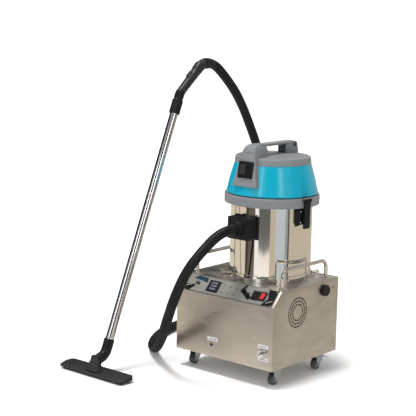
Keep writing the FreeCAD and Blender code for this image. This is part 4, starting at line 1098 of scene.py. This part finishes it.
def hose():
    """Ribbed hose from the inlet to the grip, with a tapered, ringed cuff at each end."""
    route = [at(*spot) for spot in ROUTE]
    line = path_of(route)
    steps = even_steps(line, RIB_PITCH / len(RIB_RADII))

    def ribs(share, step, angle):
        return RIB_RADII[step % len(RIB_RADII)]

    skin = sweep(steps, ribs, 32).done("hose_skin", "machine", "hose_plastic", HOSE, smooth=60)
    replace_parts(skin, "hose")
    for name, part, big in (("hose_cuff_inlet", steps[1:40], 0.0238),
                            ("hose_cuff_grip", steps[-44:-1][::-1], 0.0236)):
        def taper(share, step, angle, big=big):
            r = big + (0.0213 - big) * smoothstep(0.25, 1.0, share)
            return r - 0.0007 * (step % 8 < 2) * (share > 0.3)

        sweep(part, taper, 64).done(name, "machine", "black_plastic", BLACK, smooth=50)


hose()


# ---------------- floor, cards and light
def stage_piece(name, data, material):
    obj = new_object(name, data)
    data.materials.append(material)
    return obj


def hidden_from(obj, *rays):
    """Keep an object out of these kinds of light ray, and out of the shadows."""
    for ray in rays + ("diffuse", "shadow", "transmission", "volume_scatter"):
        setattr(obj, "visible_" + ray, False)


def glowing(name, tone):
    """A material that gives off one even tone."""
    material = bpy.data.materials.new(name)
    material.use_nodes = True
    tree = material.node_tree
    tree.nodes.clear()
    glow = tree.nodes.new("ShaderNodeEmission")
    glow.inputs["Color"].default_value = (*tone, 1)
    out = tree.nodes.new("ShaderNodeOutputMaterial")
    tree.links.new(glow.outputs[0], out.inputs["Surface"])
    return material


def sheet_mesh(name, spots, faces):
    data = bpy.data.meshes.new(name)
    data.from_pydata(spots, [], faces)
    return data


def add_floor():
    paint = Finish("studio_floor", (0.9, 0.9, 0.9), 0.9, gloss=0.0)
    paint.colours(paint.noise(2, 4), (0.90, 0.90, 0.90), (0.92, 0.92, 0.92))
    spots = [(x, y, 0) for x, y in rect(0, 0, 26, 26)]
    data = sheet_mesh("studio_floor", spots, [(0, 1, 2, 3)])
    stage_piece("studio_floor", data, paint.material).visible_glossy = False


add_floor()


def glow_card(name, tone, spots, faces):
    """One self-lit studio card that only gloss can see."""
    card = stage_piece(name, sheet_mesh(name, spots, faces), glowing(name, tone))
    hidden_from(card, "camera")


FACING = CAM_DEG - 90
RING_AT = at(22, 50, 0)


def curved_card(name, first, last, low, high, tone, notch=0.0, radius=6.0):
    """A card bent round the drum axis; angles run from the camera side, positive to its right."""
    steps = max(2, int((last - first) / 4))
    spots, faces = [], []
    for k in range(steps + 1):
        angle = radians(FACING + first + (last - first) * k / steps)
        x, y = RING_AT.x + radius * cos(angle), RING_AT.y + radius * sin(angle)
        spots += [(x, y, low + notch * abs(2 * k / steps - 1)), (x, y, high)]
    for k in range(steps):
        faces.append((2 * k, 2 * k + 2, 2 * k + 3, 2 * k + 1))
    glow_card(name, tone, spots, faces)


def add_cards():
    """Rings of studio cards: one level for the drum, one for the box and one for the wand."""
    cream, warm, white = (0.78, 0.70, 0.56), (0.62, 0.55, 0.44), (1.05, 1.05, 1.05)
    dark, brown, cool = (0.06, 0.058, 0.055), (0.16, 0.125, 0.105), (0.62, 0.66, 0.69)
    grey, low, side = (0.155, 0.152, 0.148), (1.12, 1.05, 0.96), (0.70, 0.66, 0.59)
    sash, foot, knee = 0.3, -1.0, -0.72
    drum = [(-180, -168, (0.44, 0.40, 0.36)), (-168, -124, cream), (-124, -120, brown),
            (-120, -77, cream), (-77, -68, dark), (-68, -48, brown), (-48, -37, white),
            (-5, 10, warm), (10, 37, cool), (37, 45, (0.36, 0.40, 0.43)), (45, 49, dark),
            (49, 156, warm), (156, 180, (0.30, 0.27, 0.25))]
    for number, (first, last, tone) in enumerate(drum):
        curved_card("card_drum_%02d" % number, first, last, foot, sash, tone)
    curved_card("card_wedge", -37, -5, knee, sash, grey, 0.05)
    curved_card("card_wedge_foot", -37, -5, foot, knee + 0.06, low, 0.0, 6.02)
    box = [(-180, -130, side), (-130, 10, low), (10, 156, side), (156, 180, side)]
    for number, (first, last, tone) in enumerate(box):
        curved_card("card_box_%02d" % number, first, last, -4.0, foot, tone)
    wand = [(-180, -74, (0.02, 0.02, 0.02)), (-74, -26, (0.50, 0.51, 0.53)),
            (-26, 11, (0.015, 0.012, 0.012)), (11, 48, (0.72, 0.72, 0.71)),
            (48, 106, (0.24, 0.23, 0.21)), (106, 180, (0.60, 0.60, 0.60))]
    for number, (first, last, tone) in enumerate(wand):
        curved_card("card_wand_%02d" % number, first, last, sash, 4.4, tone)
    for number, (first, last) in enumerate(((-36, -30), (17, 23))):
        curved_card("card_strip_%d" % number, first, last, 2.0, 4.3, (6, 6, 6), 0.0, 5.9)


add_cards()


def add_lid():
    """A grey card overhead, so that level gloss doesn't mirror a white sky."""
    spots = [(x, y, 4.38) for x, y in rect(0, 0, 14, 14)]
    glow_card("card_lid", (0.36, 0.35, 0.34), spots, [(0, 1, 2, 3)])


add_lid()


def add_backdrop():
    """A white paper wall behind the set, seen by the camera alone."""
    sides, radius, high = 48, 12, 14
    spots, faces = [], []
    for k, angle in enumerate(around(sides)):
        x, y = radius * cos(angle), radius * sin(angle)
        spots += [(x, y, -0.02), (x, y, high)]
        after = (k + 1) % sides
        faces.append((2 * k, 2 * after, 2 * after + 1, 2 * k + 1))
    wall = stage_piece("white_paper", sheet_mesh("white_paper", spots, faces),
                       glowing("white_paper", (1.2, 1.2, 1.2)))
    hidden_from(wall, "glossy")


add_backdrop()


def add_sun(name, away, strength, softness, colour=(1, 1, 1)):
    data = bpy.data.lights.new(name, "SUN")
    data.energy = strength
    data.angle = radians(softness)
    data.color = colour
    sun = new_object(name, data)
    sun.rotation_euler = Vector(away).to_track_quat("Z", "Y").to_euler()


add_sun("key", (-0.55, -0.85, 4.6), 2.5, 16, (1.0, 0.985, 0.965))
add_sun("fill", (-0.6, -3.6, 2.6), 0.55, 40)

world = bpy.data.worlds.new("World")
bpy.context.scene.world = world
world.use_nodes = True
sky = world.node_tree.nodes["Background"]
sky.inputs["Color"].default_value = (1, 1, 1, 1)
sky.inputs["Strength"].default_value = 0.64
bpy.context.scene.view_settings.view_transform = "Standard"
bpy.context.scene.view_settings.look = "None"
